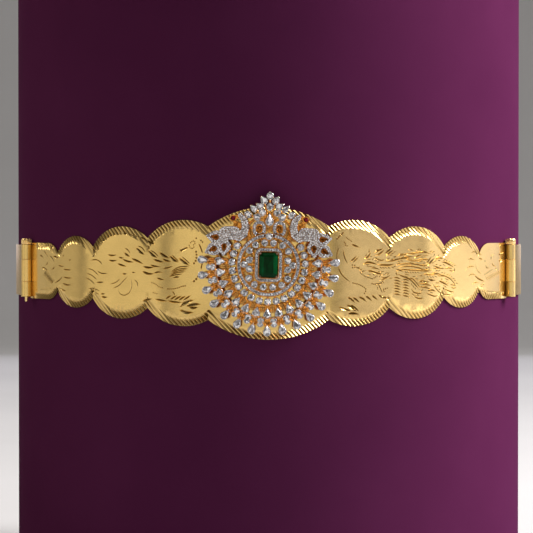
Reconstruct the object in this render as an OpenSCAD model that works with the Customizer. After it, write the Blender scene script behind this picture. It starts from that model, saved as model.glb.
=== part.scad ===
// Gold waist belt with a round jewelled pendant, closed round a display drum.
// The origin is the centre of the drum's base, Z is up and the pendant faces -Y.
// Lengths are in millimetres and angles in degrees.

/* [Drum] */
// Radius of the drum
drum_r = 115; // [100:1:150]
// Height of the drum
drum_h = 280; // [200:5:400]
// Height of the belt's middle above the base
belt_z = 140; // [80:1:160]

/* [Bands] */
// Gap between the drum and the belt
belt_gap = 0.3; // [0.2:0.05:0.4]
// Thickness of the gold plate
plate_t = 0.8; // [0.7:0.05:0.9]
// Height of the centre plate
centre_h = 55.3; // [52:0.5:58]
// Radius of the centre plate's upper and lower edges
centre_edge_r = 43.4; // [40:0.2:48]
// Height of the plate at its hinged ends
end_h = 24.5; // [23.8:0.1:26]
// Radius of the corners where the end plate begins
end_corner_r = 9.7; // [8:0.1:11]
// Length of each end plate, measured round the belt
end_len = 28.7; // [27:0.1:31]
// Height of the plain back band
back_h = 22.6; // [18:0.1:23]

/* [Hinges] */
// Distance of each hinge pin from the middle of the front, measured round the belt
hinge_arc = 132.8; // [131:0.2:136]
// Length of the knuckle tube
tube_h = 23.1; // [22:0.1:26]
// Length of the middle knuckle
middle_h = 9.7; // [8:0.1:11]
// Radius of the knuckle tube
tube_r = 2.35; // [2.2:0.05:2.5]
// Radius of the hinge pin
pin_r = 0.75; // [0.6:0.05:1]
// Clearance round the pin in its knuckles
pin_fit = 0.08; // [0.05:0.01:0.1]
// Gap between knuckles, and between a knuckle and the other band
hinge_gap = 0.12; // [0.1:0.01:0.16]
// Diameter of the pin's knob
knob_d = 4.6; // [3.6:0.1:4.8]
// Height of the pin's knob
knob_h = 2.6; // [2:0.1:4]
// Number of grooves round the knob
knob_grooves = 16; // [10:1:18]
// Length of the left pin's tip below its tube
left_tip = 2.3; // [1:0.1:4]

/* [Pendant] */
// Height of the pendant's centre above the middle of the belt
pendant_rise = 3.5; // [0:0.1:5]
// Lean of the pendant, clockwise
pendant_lean = 1.4; // [0:0.1:5]
// Gap between plate and pendant at the middle
pendant_gap = 1.2; // [0.8:0.1:3]
// Thickness of the pendant's openwork below the stones
base_t = 0.7; // [0.5:0.1:1.2]
// Depth of the seats that hold the stones
seat_t = 0.8; // [0.7:0.05:1]
// Gold left round each stone
seat_wall = 0.28; // [0.22:0.02:0.34]
// Clearance round each stone
stone_fit = 0.06; // [0.04:0.01:0.08]
// Width of the bars between the seats
bar_w = 0.8; // [0.5:0.05:1]
// Radius of the post behind the pendant
post_r = 2; // [1.5:0.1:3]
// Height of the peacocks' bodies above the openwork
peacock_rise = 0.9; // [0.5:0.1:1.4]

/* [Green stone] */
// Width of the green stone
emerald_w = 7.5; // [6.8:0.1:7.6]
// Height of the green stone
emerald_h = 10.2; // [9:0.1:10.3]
// Cut at the corners of the green stone
emerald_cut = 1.2; // [0.8:0.1:1.5]
// Depth of the green stone below its edge
emerald_depth = 1.7; // [1.2:0.1:2.5]
// Radius of the prongs at its corners
prong_r = 0.45; // [0.35:0.05:0.5]

/* [Rows of stones] */
// Radius of the circle of small stones
circle_r = 12.3; // [12.1:0.1:13]
// Number of small stones in a full circle
circle_count = 70; // [50:2:70]
// Diameter of the small stones
small_d = 0.92; // [0.8:0.02:0.94]
// Width of the band of small stones round the green stone, middle to middle
halo_w = 9.9; // [9.7:0.1:10.1]
// Height of that band, middle to middle
halo_h = 12.6; // [12.4:0.1:12.8]
// Number of rays in a full turn
rays = 27; // [25:1:28]
// Radius of the first row, of round stones
row_a_r = 15.3; // [15.1:0.1:15.8]
// Diameter of its stones
row_a_d = 2.3; // [1.8:0.1:2.5]
// Radius of the second row, of drops that point inward
row_b_r = 20.2; // [19.9:0.1:20.5]
// Length and width of its drops
row_b_size = [4, 2.7];
// Radius of the third row, which lies between the rays
row_c_r = 23.9; // [23.7:0.1:24.4]
// Length and width of its stones
row_c_size = [3.6, 2.1];
// Radius of the outer row, of drops that point inward
row_d_r = 27.1; // [26.9:0.1:28]
// Length and width of its drops
row_d_size = [4.4, 2.65];
// Diameter of the eye stones
eye_d = 1.9; // [1.5:0.1:2.1]

/* [Hidden] */
// Each lobe of the plate beside the centre: distance round the belt, radius
lobes = [
    [36.2, 22.2],
    [65.7, 19.5],
    [92.8, 15.4]
];

// The crest, with places as shares of circle_r and sizes in millimetres:
// side, height, turn outward, kind, length, width. A side above 0 has a mirrored twin.
crest_size = 3.1;
crest_table = [
    [0.000, 2.33,  0, "marquise", 1.00, 0.74],
    [0.215, 2.19, 35, "pear",     1.04, 0.72],
    [0.345, 1.99, 60, "pear",     0.98, 0.64],
    [0.000, 1.96,  0, "marquise", 0.98, 0.72],
    [0.550, 1.90, 45, "pear",     0.98, 0.66],
    [0.265, 1.77, 50, "pear",     0.90, 0.78],
    [0.430, 1.61, 60, "pear",     0.86, 0.76],
    [0.740, 1.69, 60, "pear",     0.82, 0.76],
    [0.000, 1.54,  0, "pear",     1.50, 0.92],
    [0.000, 0.97,  0, "round",    0.74, 0.74]
];

// The stones between halo and circle, as shares of circle_r:
// side, height, turn outward. All are small drops with a mirrored twin.
inner_size = [2.5, 2.1];
inner_table = [
    [0.145,  0.735, 190],
    [0.455,  0.665, 215],
    [0.655,  0.470, 235],
    [0.640,  0.165, 300],
    [0.815,  0.005, 270],
    [0.640, -0.155, 240],
    [0.650, -0.450, 305],
    [0.455, -0.660, 325],
    [0.155, -0.735, 345]
];

// Centres along the peacock's neck, as shares of circle_r, and the width there as a share of neck_w
neck_w = 3.2;
neck_table = [
    [1.00, 1.66, 0.55],
    [0.87, 1.52, 0.80],
    [0.80, 1.28, 1.00],
    [0.86, 1.03, 1.00],
    [1.03, 0.90, 0.95]
];
eye_at = [1.23, 1.55];
body_table = [
    [1.20, 1.05, 0.48],
    [1.48, 1.05, 0.46]
];
body_w = 5.9;
// Where the loops' bars meet the neck
shoulder_at = [0.6, 0.8];
// The three cells of the tail, as shares of circle_r: side, height, and the side and height of the outer tip
cell_table = [
    [1.79, 0.90, 2.10, 0.94],
    [1.85, 0.51, 2.13, 0.38],
    [1.51, 0.60, 1.54, 0.30]
];
cell_r = 1.2;
cell_border = 1.6;
// The cell's opening: how far it reaches towards the tip, its radius there, and the radius of the tip's gold
cell_reach = 0.5;
cell_end_r = 0.35;
cell_tip_r = 0.4;

// Slanted bars beside each stone of the third row: from this radius on its own line, to this radius on the rays beside it
slant_table = [
    [row_c_r - 1,   row_b_r + 0.6],
    [row_c_r - 0.5, row_d_r - 1.2]
];
// The upright bar of the crest, as shares of circle_r: from, fork, to
stem_from = 0.9;
stem_fork = 1.45;
stem_to = 2.3;
// Share of an inner stone's distance from the middle at which its bar ends
inner_bar_end = 0.62;
// Widths of the bars that carry the crest, and of those that carry the peacocks
strut_w = 1;
brace_w = 1.5;
// Gold left round the eye stones
eye_wall = 0.45;
// Gold outside and inside the circle of small stones, beyond its seats
circle_border = 0.25;
// Radius of the grooves round a knob
groove_r = 0.2;
// How far straight sides lie inside the round ends that they join
tuck = 0.003;
// How deep joined pieces go into each other
sink = 0.1;
// How far a cutter reaches past what it cuts
over = 5;

// How far the knuckle tube stays inside the plate's inner face
tube_inset = 0.1;
// How far each pin's tip comes out below its tube
tips = [left_tip, -1];

plate_in_r = drum_r + belt_gap;
plate_out_r = plate_in_r + plate_t;
hinge_r = plate_in_r + tube_r + tube_inset;
hinge_a = arc_angle(hinge_arc);
bore_r = pin_r + pin_fit;
pendant_back_r = plate_out_r + pendant_gap;
ray = 360 / rays;
row_a_count = 19;
row_b_count = 15;
row_a_half = (row_a_count - 1) / 2;
row_b_half = (row_b_count - 1) / 2;
loop_at = [0.343, 1.22];
loop_r = 2.1;
loop_stretch = 0.5;
loop_count = 16;
loop_stone_d = 0.82;
small_gap = 0.15;
halo_corner_r = 1.9;
halo_count = 40;
stone_depth = seat_t - 0.1;
stone_z = base_t + seat_t - 0.02;
crown_share = 0.17;
table_share = 0.58;

CREST = [for (row = crest_table, side = row[0] > 0 ? [-1, 1] : [1]) [row, side]];
DROPS = 2 * row_b_half + 1;
$fn = 48;

function arc_angle(arc) = arc / (drum_r + belt_gap + plate_t) * 180 / PI;
function along(angle, r) = [r * sin(angle), -r * cos(angle)];
function mirrored(p, side) = [side * p[0], p[1]];
function turned(p, a) = [p[0] * cos(a) - p[1] * sin(a), p[0] * sin(a) + p[1] * cos(a)];

// Shapes drawn flat, from which the bands and the pendant are made

// Two round ends and the straight sides between them. The sides lie a hair inside, so that they cross the round ends.
module limb(p, rp, q, rq) {
    way = atan2(q[1] - p[1], q[0] - p[0]);
    side = acos((rp - rq) / norm(q - p));
    translate(p) circle(rp);
    translate(q) circle(rq);
    polygon([
        p + (rp - tuck) * [cos(way + side), sin(way + side)],
        p + (rp - tuck) * [cos(way - side), sin(way - side)],
        q + (rq - tuck) * [cos(way - side), sin(way - side)],
        q + (rq - tuck) * [cos(way + side), sin(way + side)]
    ]);
}

module bar(p, q, w = bar_w) limb(p, w / 2, q, w / 2);

// Outline of a seat, larger than its stone by grow all round, with a drop's point up
module seat(kind, size, grow) {
    r = size[1] / 2;
    reach = size[0] / 2;
    if (kind == "round") circle(r + grow);
    if (kind == "pear") limb([0, r - reach], r + grow, [0, reach], grow);
    if (kind == "oval") limb([0, r - reach], r + grow, [0, reach - r], r + grow);
    if (kind == "marquise") {
        limb([0, 0], r + grow, [0, reach], grow);
        limb([0, 0], r + grow, [0, -reach], grow);
    }
}

module rounded(w, h, r) {
    square([w - 2 * r, h - 2 * tuck], center = true);
    square([w - 2 * tuck, h - 2 * r], center = true);
    for (x = [-1, 1], y = [-1, 1]) translate([x * (w / 2 - r), y * (h / 2 - r)]) circle(r);
}

// Stones are lists of kind, size, place and turn

function arc_points(centre, r, from, to, count) =
    [for (i = [0 : count - 1]) centre + r * [-sin(from + (to - from) * i / (count - 1)),
                                             cos(from + (to - from) * i / (count - 1))]];

function stone_outline(kind, size) =
    let (r = size[1] / 2, reach = size[0] / 2, slope = acos(r / (size[0] - r)), point = acos(min(1, r / reach)))
    kind == "pear" ? concat([[0, reach]], arc_points([0, r - reach], r, slope, 360 - slope, 7)) :
    kind == "oval" ? concat(arc_points([0, reach - r], r, -90, 90, 4), arc_points([0, r - reach], r, 90, 270, 4)) :
    kind == "marquise" ? concat([[0, reach]], arc_points([0, 0], r, point, 180 - point, 3), [[0, -reach]],
                                arc_points([0, 0], r, 180 + point, 360 - point, 3)) :
    arc_points([0, 0], r, 22.5, 337.5, 8);

function stone_points(stone) =
    let (outline = stone_outline(stone[0], stone[1]), crown = crown_share * stone[1][1])
    concat(
        [for (p = outline) let (q = stone[2] + turned(p * table_share, stone[3])) [q[0], q[1], stone_z + crown]],
        [for (p = outline) let (q = stone[2] + turned(p, stone[3])) [q[0], q[1], stone_z]],
        [[stone[2][0], stone[2][1], stone_z - stone_depth]]
    );

function stone_faces(first, n) = concat(
    [[for (i = [n - 1 : -1 : 0]) first + i]],
    [for (i = [0 : n - 1]) [first + i, first + (i + 1) % n, first + n + (i + 1) % n, first + n + i]],
    [for (i = [0 : n - 1]) [first + n + i, first + n + (i + 1) % n, first + 2 * n]]
);

// Cut stones with a table, eight sides above and eight below, all in one polyhedron
module stones(list) {
    sides = 8;
    polyhedron(
        [for (stone = list) each stone_points(stone)],
        [for (i = [0 : len(list) - 1]) each stone_faces(i * (2 * sides + 1), sides)]
    );
}

// Where the stones of the pendant lie, seen from the front with its centre at 0, 0

function row(kind, size, r, steps) = [for (k = steps) [kind, size, along(k * ray, r), k * ray]];

row_a = row("round", [row_a_d, row_a_d], row_a_r, [for (k = [-row_a_half : row_a_half]) k]);
row_b = row("pear", row_b_size, row_b_r, [for (k = [-row_b_half : row_b_half]) k]);
row_c = row("oval", row_c_size, row_c_r, [for (k = [-row_b_half : row_b_half - 1]) k + 0.5]);
row_d = row("pear", row_d_size, row_d_r, [for (k = [-row_b_half : row_b_half]) k]);
inner = [for (row = inner_table, side = [-1, 1])
    ["pear", inner_size, circle_r * mirrored(row, side), -side * row[2]]];
crest = [for (item = CREST) let (row = item[0], side = item[1])
    [row[3], crest_size * [row[4], row[5]], circle_r * mirrored(row, side), -side * row[2]]];
eyes = [for (side = [-1, 1]) ["round", [eye_d, eye_d], circle_r * mirrored(eye_at, side), 0]];

// A point part of the way along a quarter of a rounded frame, which is counted from its top
function quarter(s, w, h, r) =
    let (flat = w / 2 - r, bend = flat + r * PI / 2)
    s < flat ? [s, h / 2] :
    s < bend ? let (a = (s - flat) / r * 180 / PI) [flat + r * sin(a), h / 2 - r + r * cos(a)] :
    [w / 2, h / 2 - r - (s - bend)];

function frame_places(w, h, r, count) =
    let (side = count / 4, length = w / 2 + h / 2 - 2 * r + r * PI / 2)
    [for (x = [-1, 1], y = [-1, 1], k = [0 : side - 1])
        let (p = quarter((k + 0.5) * length / side, w, h, r)) [x * p[0], y * p[1]]];

function small(places, d = small_d) = [for (p = places) ["round", [d, d], p, atan2(p[1], p[0])]];

top_stone_reach = crest_size * crest_table[9][4] / 2 + small_d / 2 + small_gap;
circle_stones = small([for (k = [0 : circle_count - 1])
    let (p = along((k + 0.5) * 360 / circle_count, circle_r))
    if (norm(p - circle_r * mirrored(crest_table[9], 1)) > top_stone_reach) p]);
halo_stones = small(frame_places(halo_w, halo_h, halo_corner_r, halo_count));
loop_stones = small([for (side = [-1, 1], p = frame_places(2 * loop_r, 2 * (loop_r + loop_stretch), loop_r, loop_count))
    let (q = p + circle_r * mirrored(loop_at, side))
    if (norm(q) > circle_r + small_d + small_gap) q], loop_stone_d);

// The pendant's flat drawings

channel = small_d + 2 * stone_fit;
rim = channel + 2 * seat_wall;

module ring(r, w) difference() {
    circle(r + w / 2, $fn = 96);
    circle(r - w / 2, $fn = 96);
}

module loop_line(w) for (side = [-1, 1]) translate(circle_r * mirrored(loop_at, side)) difference() {
    limb([0, -loop_stretch], loop_r + w / 2, [0, loop_stretch], loop_r + w / 2);
    limb([0, -loop_stretch], loop_r - w / 2, [0, loop_stretch], loop_r - w / 2);
}

module halo_line(w) difference() {
    rounded(halo_w + w, halo_h + w, halo_corner_r + w / 2);
    rounded(halo_w - w, halo_h - w, halo_corner_r - w / 2);
}

module seats(list, grow) for (stone = list)
    translate(stone[2]) rotate(stone[3]) seat(stone[0], stone[1], grow);

module neck() for (i = [0 : len(neck_table) - 2]) {
    a = neck_table[i];
    b = neck_table[i + 1];
    limb(circle_r * mirrored(a, 1), a[2] * neck_w / 2, circle_r * mirrored(b, 1), b[2] * neck_w / 2);
}

module body() {
    a = body_table[0];
    b = body_table[1];
    limb(circle_r * mirrored(a, 1), a[2] * body_w, circle_r * mirrored(b, 1), b[2] * body_w);
}

// A cell's centre and the point of its tip
function cell_at(cell) = circle_r * [cell[0], cell[1]];
function cell_tip(cell) = circle_r * [cell[2], cell[3]];

module tail() {
    for (cell = cell_table) limb(cell_at(cell), cell_r + cell_border, cell_tip(cell), cell_tip_r);
    for (i = [0, 2]) bar(cell_at(cell_table[i]), circle_r * mirrored(body_table[1], 1), 2 * cell_border);
}

module cells() for (cell = cell_table)
    limb(cell_at(cell), cell_r, cell_at(cell) + cell_reach * (cell_tip(cell) - cell_at(cell)), cell_end_r);

module peacocks() for (side = [0, 1]) mirror([side, 0]) {
    neck();
    body();
    tail();
}

// Bars from ray to ray, and those that carry the crest and the peacocks
module bars() {
    for (stone = row_a) bar(stone[2], along(stone[3], circle_r));
    for (k = [-row_b_half : row_b_half]) {
        bar(along(k * ray, row_a_r), along(k * ray, row_b_r));
        bar(along(k * ray, row_b_r), along(k * ray, row_d_r));
    }
    for (k = [-row_b_half : row_b_half - 1]) for (side = [-0.5, 0.5]) {
        for (slant = slant_table) bar(along((k + 0.5) * ray, slant[0]), along((k + 0.5 + side) * ray, slant[1]));
    }
    for (stone = inner) {
        bar(stone[2], circle_r * stone[2] / norm(stone[2]));
        bar(stone[2], inner_bar_end * stone[2]);
    }
    bar([0, stem_from * circle_r], [0, stem_to * circle_r]);
    for (side = [-1, 1]) {
        eye = circle_r * mirrored(eye_at, side);
        hip = circle_r * mirrored(body_table[0], side);
        nape = circle_r * mirrored(neck_table[2], side);
        loop = circle_r * mirrored(loop_at, side);
        stem = circle_r * [0, stem_fork];
        for (i = [1, 2, 4, 5, 6, 7]) bar(stem, circle_r * mirrored(crest_table[i], side));
        bar(circle_r * mirrored(crest_table[7], side), circle_r * mirrored(neck_table[0], side));
        bar(circle_r * mirrored(crest_table[6], side), nape, strut_w);
        bar([loop[0] + side * loop_r, loop[1]], nape, strut_w);
        bar([loop[0], loop[1] + loop_r], stem, strut_w);
        bar(circle_r * mirrored(shoulder_at, side), nape, brace_w);
        bar(eye, circle_r * mirrored(neck_table[0], side), brace_w);
        polygon([eye, nape, hip]);
        for (k = [row_b_half : row_a_half]) bar(along(side * k * ray, row_a_r), circle_r * mirrored(cell_table[2], side), strut_w);
        bar(along(side * row_b_half * ray, row_b_r), circle_r * mirrored(cell_table[1], side), strut_w);
        bar(along(side * row_a_half * ray, row_a_r), hip, brace_w);
    }
}

module flat_openwork() {
    ring(circle_r, rim + 2 * circle_border);
    halo_line(rim);
    rounded(halo_w, halo_h, halo_corner_r);
    loop_line(rim);
    for (side = [-1, 1]) translate(circle_r * mirrored(loop_at, side)) circle(loop_r);
    seats(concat(row_a, row_b, row_c, row_d, inner, crest), stone_fit + seat_wall);
    seats(eyes, stone_fit + eye_wall);
    bars();
    peacocks();
}

module flat_seats() {
    ring(circle_r, channel);
    halo_line(channel);
    loop_line(channel);
    seats(concat(row_a, row_b, row_c, row_d, inner, crest, eyes), stone_fit);
    rounded(halo_w - rim - stone_fit, halo_h - rim - stone_fit, halo_corner_r - rim / 2);
    for (side = [-1, 1]) translate(circle_r * mirrored(loop_at, side)) circle(loop_r - rim / 2);
    for (side = [0, 1]) mirror([side, 0]) cells();
}

// Corner points of the green stone, drawn in from its edge
function emerald_ring(inset) =
    let (x = emerald_w / 2 - inset, y = emerald_h / 2 - inset, c = emerald_cut - inset * (2 - sqrt(2)))
    [[x, y - c], [x - c, y], [c - x, y], [-x, y - c], [-x, c - y], [c - x, -y], [x - c, -y], [x, c - y]];

emerald_z = base_t + stone_fit + emerald_depth;
// Prongs at the middle of each cut corner
prongs = [for (x = [-1, 1], y = [-1, 1]) let (off = -emerald_cut / 2 + (prong_r + stone_fit) / sqrt(2))
    [x * (emerald_w / 2 + off), y * (emerald_h / 2 + off)]];
// Steps of the cut from the table down: how far in, how high
emerald_steps = [[1.5, 0.85], [0.8, 0.6], [0, 0.12], [0, -0.12], [0.8, -0.9], [1.7, -emerald_depth]];

// Sub-parts, each in its own place

module on_pendant() translate([0, -pendant_back_r, belt_z + pendant_rise]) rotate([90, 0, 0])
    rotate(-pendant_lean) children();

module gold() color("goldenrod") children();
module clear() color("whitesmoke") children();

module display_drum() color([0.25, 0.09, 0.2]) cylinder(r = drum_r, h = drum_h, $fn = 180);

// A stretch of plate between two angles, counted from the front
module plate(from, to, h) rotate([0, 0, from - 90]) rotate_extrude(angle = to - from, $fn = 180)
    translate([plate_in_r, -h / 2]) square([plate_t, h]);

// A round outline through the plate, centred at an angle and height
module outline(angle, z, r) rotate([0, 0, angle]) translate([0, 0, z]) rotate([90, 0, 0])
    cylinder(r = r, h = plate_out_r + over, $fn = 120);

module at_hinge(side) rotate([0, 0, side * hinge_a]) translate([0, -hinge_r, 0]) children();

module tube(from, to, r) translate([0, 0, from]) cylinder(r = r, h = to - from);

// Everything further round the belt than an angle, as a slab with straight upper and lower edges
module end_outline(side, angle, h) rotate([0, 0, side * angle]) mirror([side > 0 ? 0 : 1, 0, 0])
    translate([0, -2 * drum_r, -h / 2]) cube([2 * drum_r, 2 * drum_r - drum_r / 2, h]);

module front_plate() intersection() {
    corner_a = arc_angle(hinge_arc - end_len + end_corner_r);
    corner_z = end_h / 2 - end_corner_r;
    plate(-hinge_a, hinge_a, centre_h + over);
    union() {
        intersection() {
            outline(0, centre_h / 2 - centre_edge_r, centre_edge_r);
            outline(0, centre_edge_r - centre_h / 2, centre_edge_r);
        }
        for (side = [-1, 1]) {
            for (item = lobes) outline(side * arc_angle(item[0]), 0, item[1]);
            for (z = [-corner_z, corner_z]) outline(side * corner_a, z, end_corner_r);
            end_outline(side, corner_a, end_h);
            end_outline(side, arc_angle(hinge_arc - end_len), 2 * corner_z);
        }
    }
}

module front_band() gold() translate([0, 0, belt_z]) difference() {
    union() {
        front_plate();
        for (side = [-1, 1]) at_hinge(side) tube(-tube_h / 2, tube_h / 2, tube_r);
    }
    for (side = [-1, 1]) at_hinge(side) {
        tube(-middle_h / 2 - hinge_gap / 2, middle_h / 2 + hinge_gap / 2, tube_r + hinge_gap);
        tube(-tube_h, tube_h, bore_r);
        // room for the pin's knob
        tube(tube_h / 2, tube_h, knob_d / 2 + hinge_gap);
    }
    translate([0, 0, pendant_rise]) rotate([90, 0, 0]) cylinder(r = post_r + stone_fit, h = plate_out_r + over);
}

module back_band() gold() translate([0, 0, belt_z]) difference() {
    union() {
        plate(hinge_a, 360 - hinge_a, back_h);
        for (side = [-1, 1]) at_hinge(side)
            tube(-middle_h / 2 + hinge_gap / 2, middle_h / 2 - hinge_gap / 2, tube_r);
    }
    for (side = [-1, 1]) at_hinge(side) {
        for (up = [-1, 1]) translate([0, 0, up * middle_h / 2]) mirror([0, 0, up < 0 ? 1 : 0])
            tube(-hinge_gap / 2, tube_h, tube_r + hinge_gap);
        tube(-tube_h, tube_h, bore_r);
    }
}

module pin(side, tip) gold() translate([0, 0, belt_z]) at_hinge(side) {
    tube(-tube_h / 2 - tip, tube_h / 2 + knob_h / 2, pin_r);
    translate([0, 0, tube_h / 2 + pin_fit]) linear_extrude(knob_h) difference() {
        circle(knob_d / 2);
        for (i = [0 : knob_grooves - 1]) rotate(i * 360 / knob_grooves) translate([knob_d / 2, 0]) circle(groove_r);
    }
}

module pendant_frame() gold() on_pendant() {
    linear_extrude(base_t) flat_openwork();
    translate([0, 0, base_t - sink]) linear_extrude(seat_t + sink) difference() {
        flat_openwork();
        flat_seats();
    }
    translate([0, 0, base_t]) linear_extrude(seat_t + peacock_rise) difference() {
        peacocks();
        seats(concat(crest, row_a, eyes), stone_fit + seat_wall);
        for (side = [0, 1]) mirror([side, 0]) cells();
    }
    for (p = prongs) translate(p) cylinder(r = prong_r, h = emerald_z + prong_r);
}

module pendant_post() gold() translate([0, -plate_in_r - stone_fit, belt_z + pendant_rise]) rotate([90, 0, 0])
    cylinder(r = post_r, h = plate_t + pendant_gap - 2 * stone_fit);

module emerald() color("darkgreen") on_pendant() translate([0, 0, emerald_z]) {
    n = len(emerald_steps);
    polyhedron(
        [for (s = emerald_steps, p = emerald_ring(s[0])) [p[0], p[1], s[1]]],
        concat(
            [[for (i = [7 : -1 : 0]) i]],
            [for (k = [0 : n - 2], i = [0 : 7]) [8 * k + i, 8 * k + (i + 1) % 8, 8 * k + 8 + (i + 1) % 8, 8 * k + 8 + i]],
            [[for (i = [0 : 7]) 8 * (n - 1) + i]]
        )
    );
}

module ruby(i) color("darkred") on_pendant() stones([eyes[i]]);
module field(list) clear() on_pendant() stones(list);

display_drum();
front_band();
back_band();
pin(-1, tips[0]);  // pin_left
pin(1, tips[1]);  // pin_right
pendant_frame();
pendant_post();
emerald();
ruby(0);  // ruby_left
ruby(1);  // ruby_right
field(circle_stones);  // stones_circle
field(halo_stones);  // stones_halo
field(loop_stones);  // stones_loops
field(inner);  // stones_inner
field(row_a);  // stones_row_a
field(row_b);  // stones_row_b
field(row_c);  // stones_row_c
for (i = [1 : DROPS]) field([row_d[i - 1]]);
for (i = [1 : len(CREST)]) field([crest[i - 1]]);
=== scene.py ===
# The looks of a gold waist belt with a jewelled peacock pendant, closed round its display drum.
# Sizes are in millimetres and turned to metres when a mesh is made. The pendant faces -Y.
import math

import bpy
import numpy as np
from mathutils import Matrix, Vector
from mathutils.geometry import delaunay_2d_cdt


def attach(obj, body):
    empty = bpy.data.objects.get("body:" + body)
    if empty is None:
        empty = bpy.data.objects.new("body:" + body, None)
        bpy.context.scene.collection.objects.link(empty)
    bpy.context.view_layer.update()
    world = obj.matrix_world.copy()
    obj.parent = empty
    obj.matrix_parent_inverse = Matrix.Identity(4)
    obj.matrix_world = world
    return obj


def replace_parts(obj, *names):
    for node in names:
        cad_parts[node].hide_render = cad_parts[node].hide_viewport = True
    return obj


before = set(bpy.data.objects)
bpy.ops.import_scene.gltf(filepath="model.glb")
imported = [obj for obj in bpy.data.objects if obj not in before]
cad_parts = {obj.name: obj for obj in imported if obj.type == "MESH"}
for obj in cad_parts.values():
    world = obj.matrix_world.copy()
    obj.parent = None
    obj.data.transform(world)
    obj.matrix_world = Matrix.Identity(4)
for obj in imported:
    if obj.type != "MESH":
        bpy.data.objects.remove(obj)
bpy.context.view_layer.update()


# --- Display drum -----------------------------------------------------------------------------------------------------
# A plain round stand of stout card covered in deep purple paper, which meets in one straight seam at the back.
# Its edges are folded over softly, and the lid lies a little below the upper edge.

drum_r, drum_h, drum_fold = 115.0, 280.0, 1.4
lid_drop, lid_edge, lid_fold, lid_middle = 1.6, 3.2, 0.4, 60
seam_half, seam_depth = math.radians(0.25), 0.3


def turned(profile, angles, closed=False):
    """Points and faces of a shape turned round Z from a profile of radius and height, drawn upward on its outside."""
    points, faces, rings = [], [], []
    for radius, height in profile:
        if radius == 0:
            points.append((0, 0, height))
            rings.append([len(points) - 1] * len(angles))
        else:
            rings.append(list(range(len(points), len(points) + len(angles))))
            points += [(radius * math.cos(a), radius * math.sin(a), height) for a in angles]
    for low, high in list(zip(rings, rings[1:])) + ([(rings[-1], rings[0])] if closed else []):
        for i in range(len(angles)):
            j = (i + 1) % len(angles)
            # A ring that is one point gives triangles
            faces.append(list(dict.fromkeys((low[i], low[j], high[j], high[i]))))
    return points, faces


def even_angles(count):
    return [2 * math.pi * i / count for i in range(count)]


def mesh_of(name, points, faces, edges=(), smooth=True):
    """A mesh from points in millimetres."""
    mesh = bpy.data.meshes.new(name)
    mesh.from_pydata([tuple(float(c) * 0.001 for c in p) for p in points], edges, faces)
    mesh.polygons.foreach_set("use_smooth", [smooth] * len(mesh.polygons))
    return mesh


def shown(name, data):
    """An object in the scene."""
    thing = bpy.data.objects.new(name, data)
    bpy.context.scene.collection.objects.link(thing)
    return thing


def made(name, points, faces, finish, body, sharp):
    """A piece that rides on a body. Edges sharper than an angle in degrees stay crisp."""
    mesh = mesh_of(name, points, faces)
    mesh.materials.append(finish)
    mesh.set_sharp_from_angle(angle=math.radians(sharp))
    mesh.update()
    piece = shown(name, mesh)
    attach(piece, body)
    return piece


def add(tree, kind, **settings):
    """A node in a tree, with its settings, and with its inputs under their names or numbers."""
    made_node = tree.nodes.new(kind)
    for key, value in settings.items():
        if key == "inputs":
            for socket, content in value.items():
                if isinstance(content, bpy.types.NodeSocket):
                    tree.links.new(content, made_node.inputs[socket])
                else:
                    made_node.inputs[socket].default_value = content
        else:
            setattr(made_node, key, value)
    return made_node


def finish_of(name, **values):
    """A material whose shader sockets have these values, with its tree and its shader."""
    material = bpy.data.materials.new(name)
    material.use_nodes = True
    shader = material.node_tree.nodes["Principled BSDF"]
    for socket, value in values.items():
        shader.inputs[socket.replace("_", " ")].default_value = value
    return material, material.node_tree, shader


def feed(tree, node, **results):
    """Links results to a node's sockets."""
    for socket, result in results.items():
        tree.links.new(result, node.inputs[socket.replace("_", " ")])


def object_place(tree):
    return add(tree, "ShaderNodeTexCoord").outputs["Object"]


def stretched(tree, where, scale, turn=(0, 0, 0)):
    return add(tree, "ShaderNodeMapping", inputs={"Vector": where, "Scale": scale, "Rotation": turn}).outputs[0]


def noise(tree, where, scale, detail, rough):
    return add(tree, "ShaderNodeTexNoise",
               inputs={"Vector": where, "Scale": scale, "Detail": detail, "Roughness": rough}).outputs["Fac"]


def calc(tree, operation, *values, clamp=False):
    return add(tree, "ShaderNodeMath", operation=operation, use_clamp=clamp, inputs=dict(enumerate(values))).outputs[0]


def ranged(tree, value, low, high, start=0, stop=1):
    """Low where a value is at its start, high where it is at its stop, and even between."""
    return add(tree, "ShaderNodeMapRange", inputs={"Value": value, "From Min": start, "From Max": stop,
                                                   "To Min": low, "To Max": high}).outputs[0]


def ramp(tree, factor, *stops):
    """A colour ramp from (place, colour) stops."""
    band = add(tree, "ShaderNodeValToRGB", inputs={"Fac": factor})
    while len(band.color_ramp.elements) < len(stops):
        band.color_ramp.elements.new(0.5)
    for element, (place, colour) in zip(band.color_ramp.elements, stops):
        element.position = place
        element.color = (*colour, 1)
    return band.outputs["Color"]


def bumped(tree, height, strength, distance, **under):
    """The normal of a surface with a fine relief, whose distance is in metres."""
    return add(tree, "ShaderNodeBump",
               inputs={"Strength": strength, "Distance": distance, "Height": height, **under}).outputs[0]


paper, tree, shader = finish_of("purple_paper", Roughness=0.62, IOR=1.04)
where = object_place(tree)
fibre = noise(tree, stretched(tree, where, (900, 900, 2600)), 1, 3, 0.7)
grain = noise(tree, where, 3200, 2, 0.6)
tone = calc(tree, "MULTIPLY_ADD", fibre, 0.35, noise(tree, where, 18, 4, 0.6))
feed(tree, shader,
     Base_Color=ramp(tree, tone, (0.42, (0.057, 0.0092, 0.036)), (0.68, (0.062, 0.0102, 0.039)),
                     (0.95, (0.068, 0.0116, 0.043))),
     Roughness=ranged(tree, grain, 0.7, 0.95), Normal=bumped(tree, calc(tree, "ADD", grain, fibre), 0.22, 0.00012))

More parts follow.
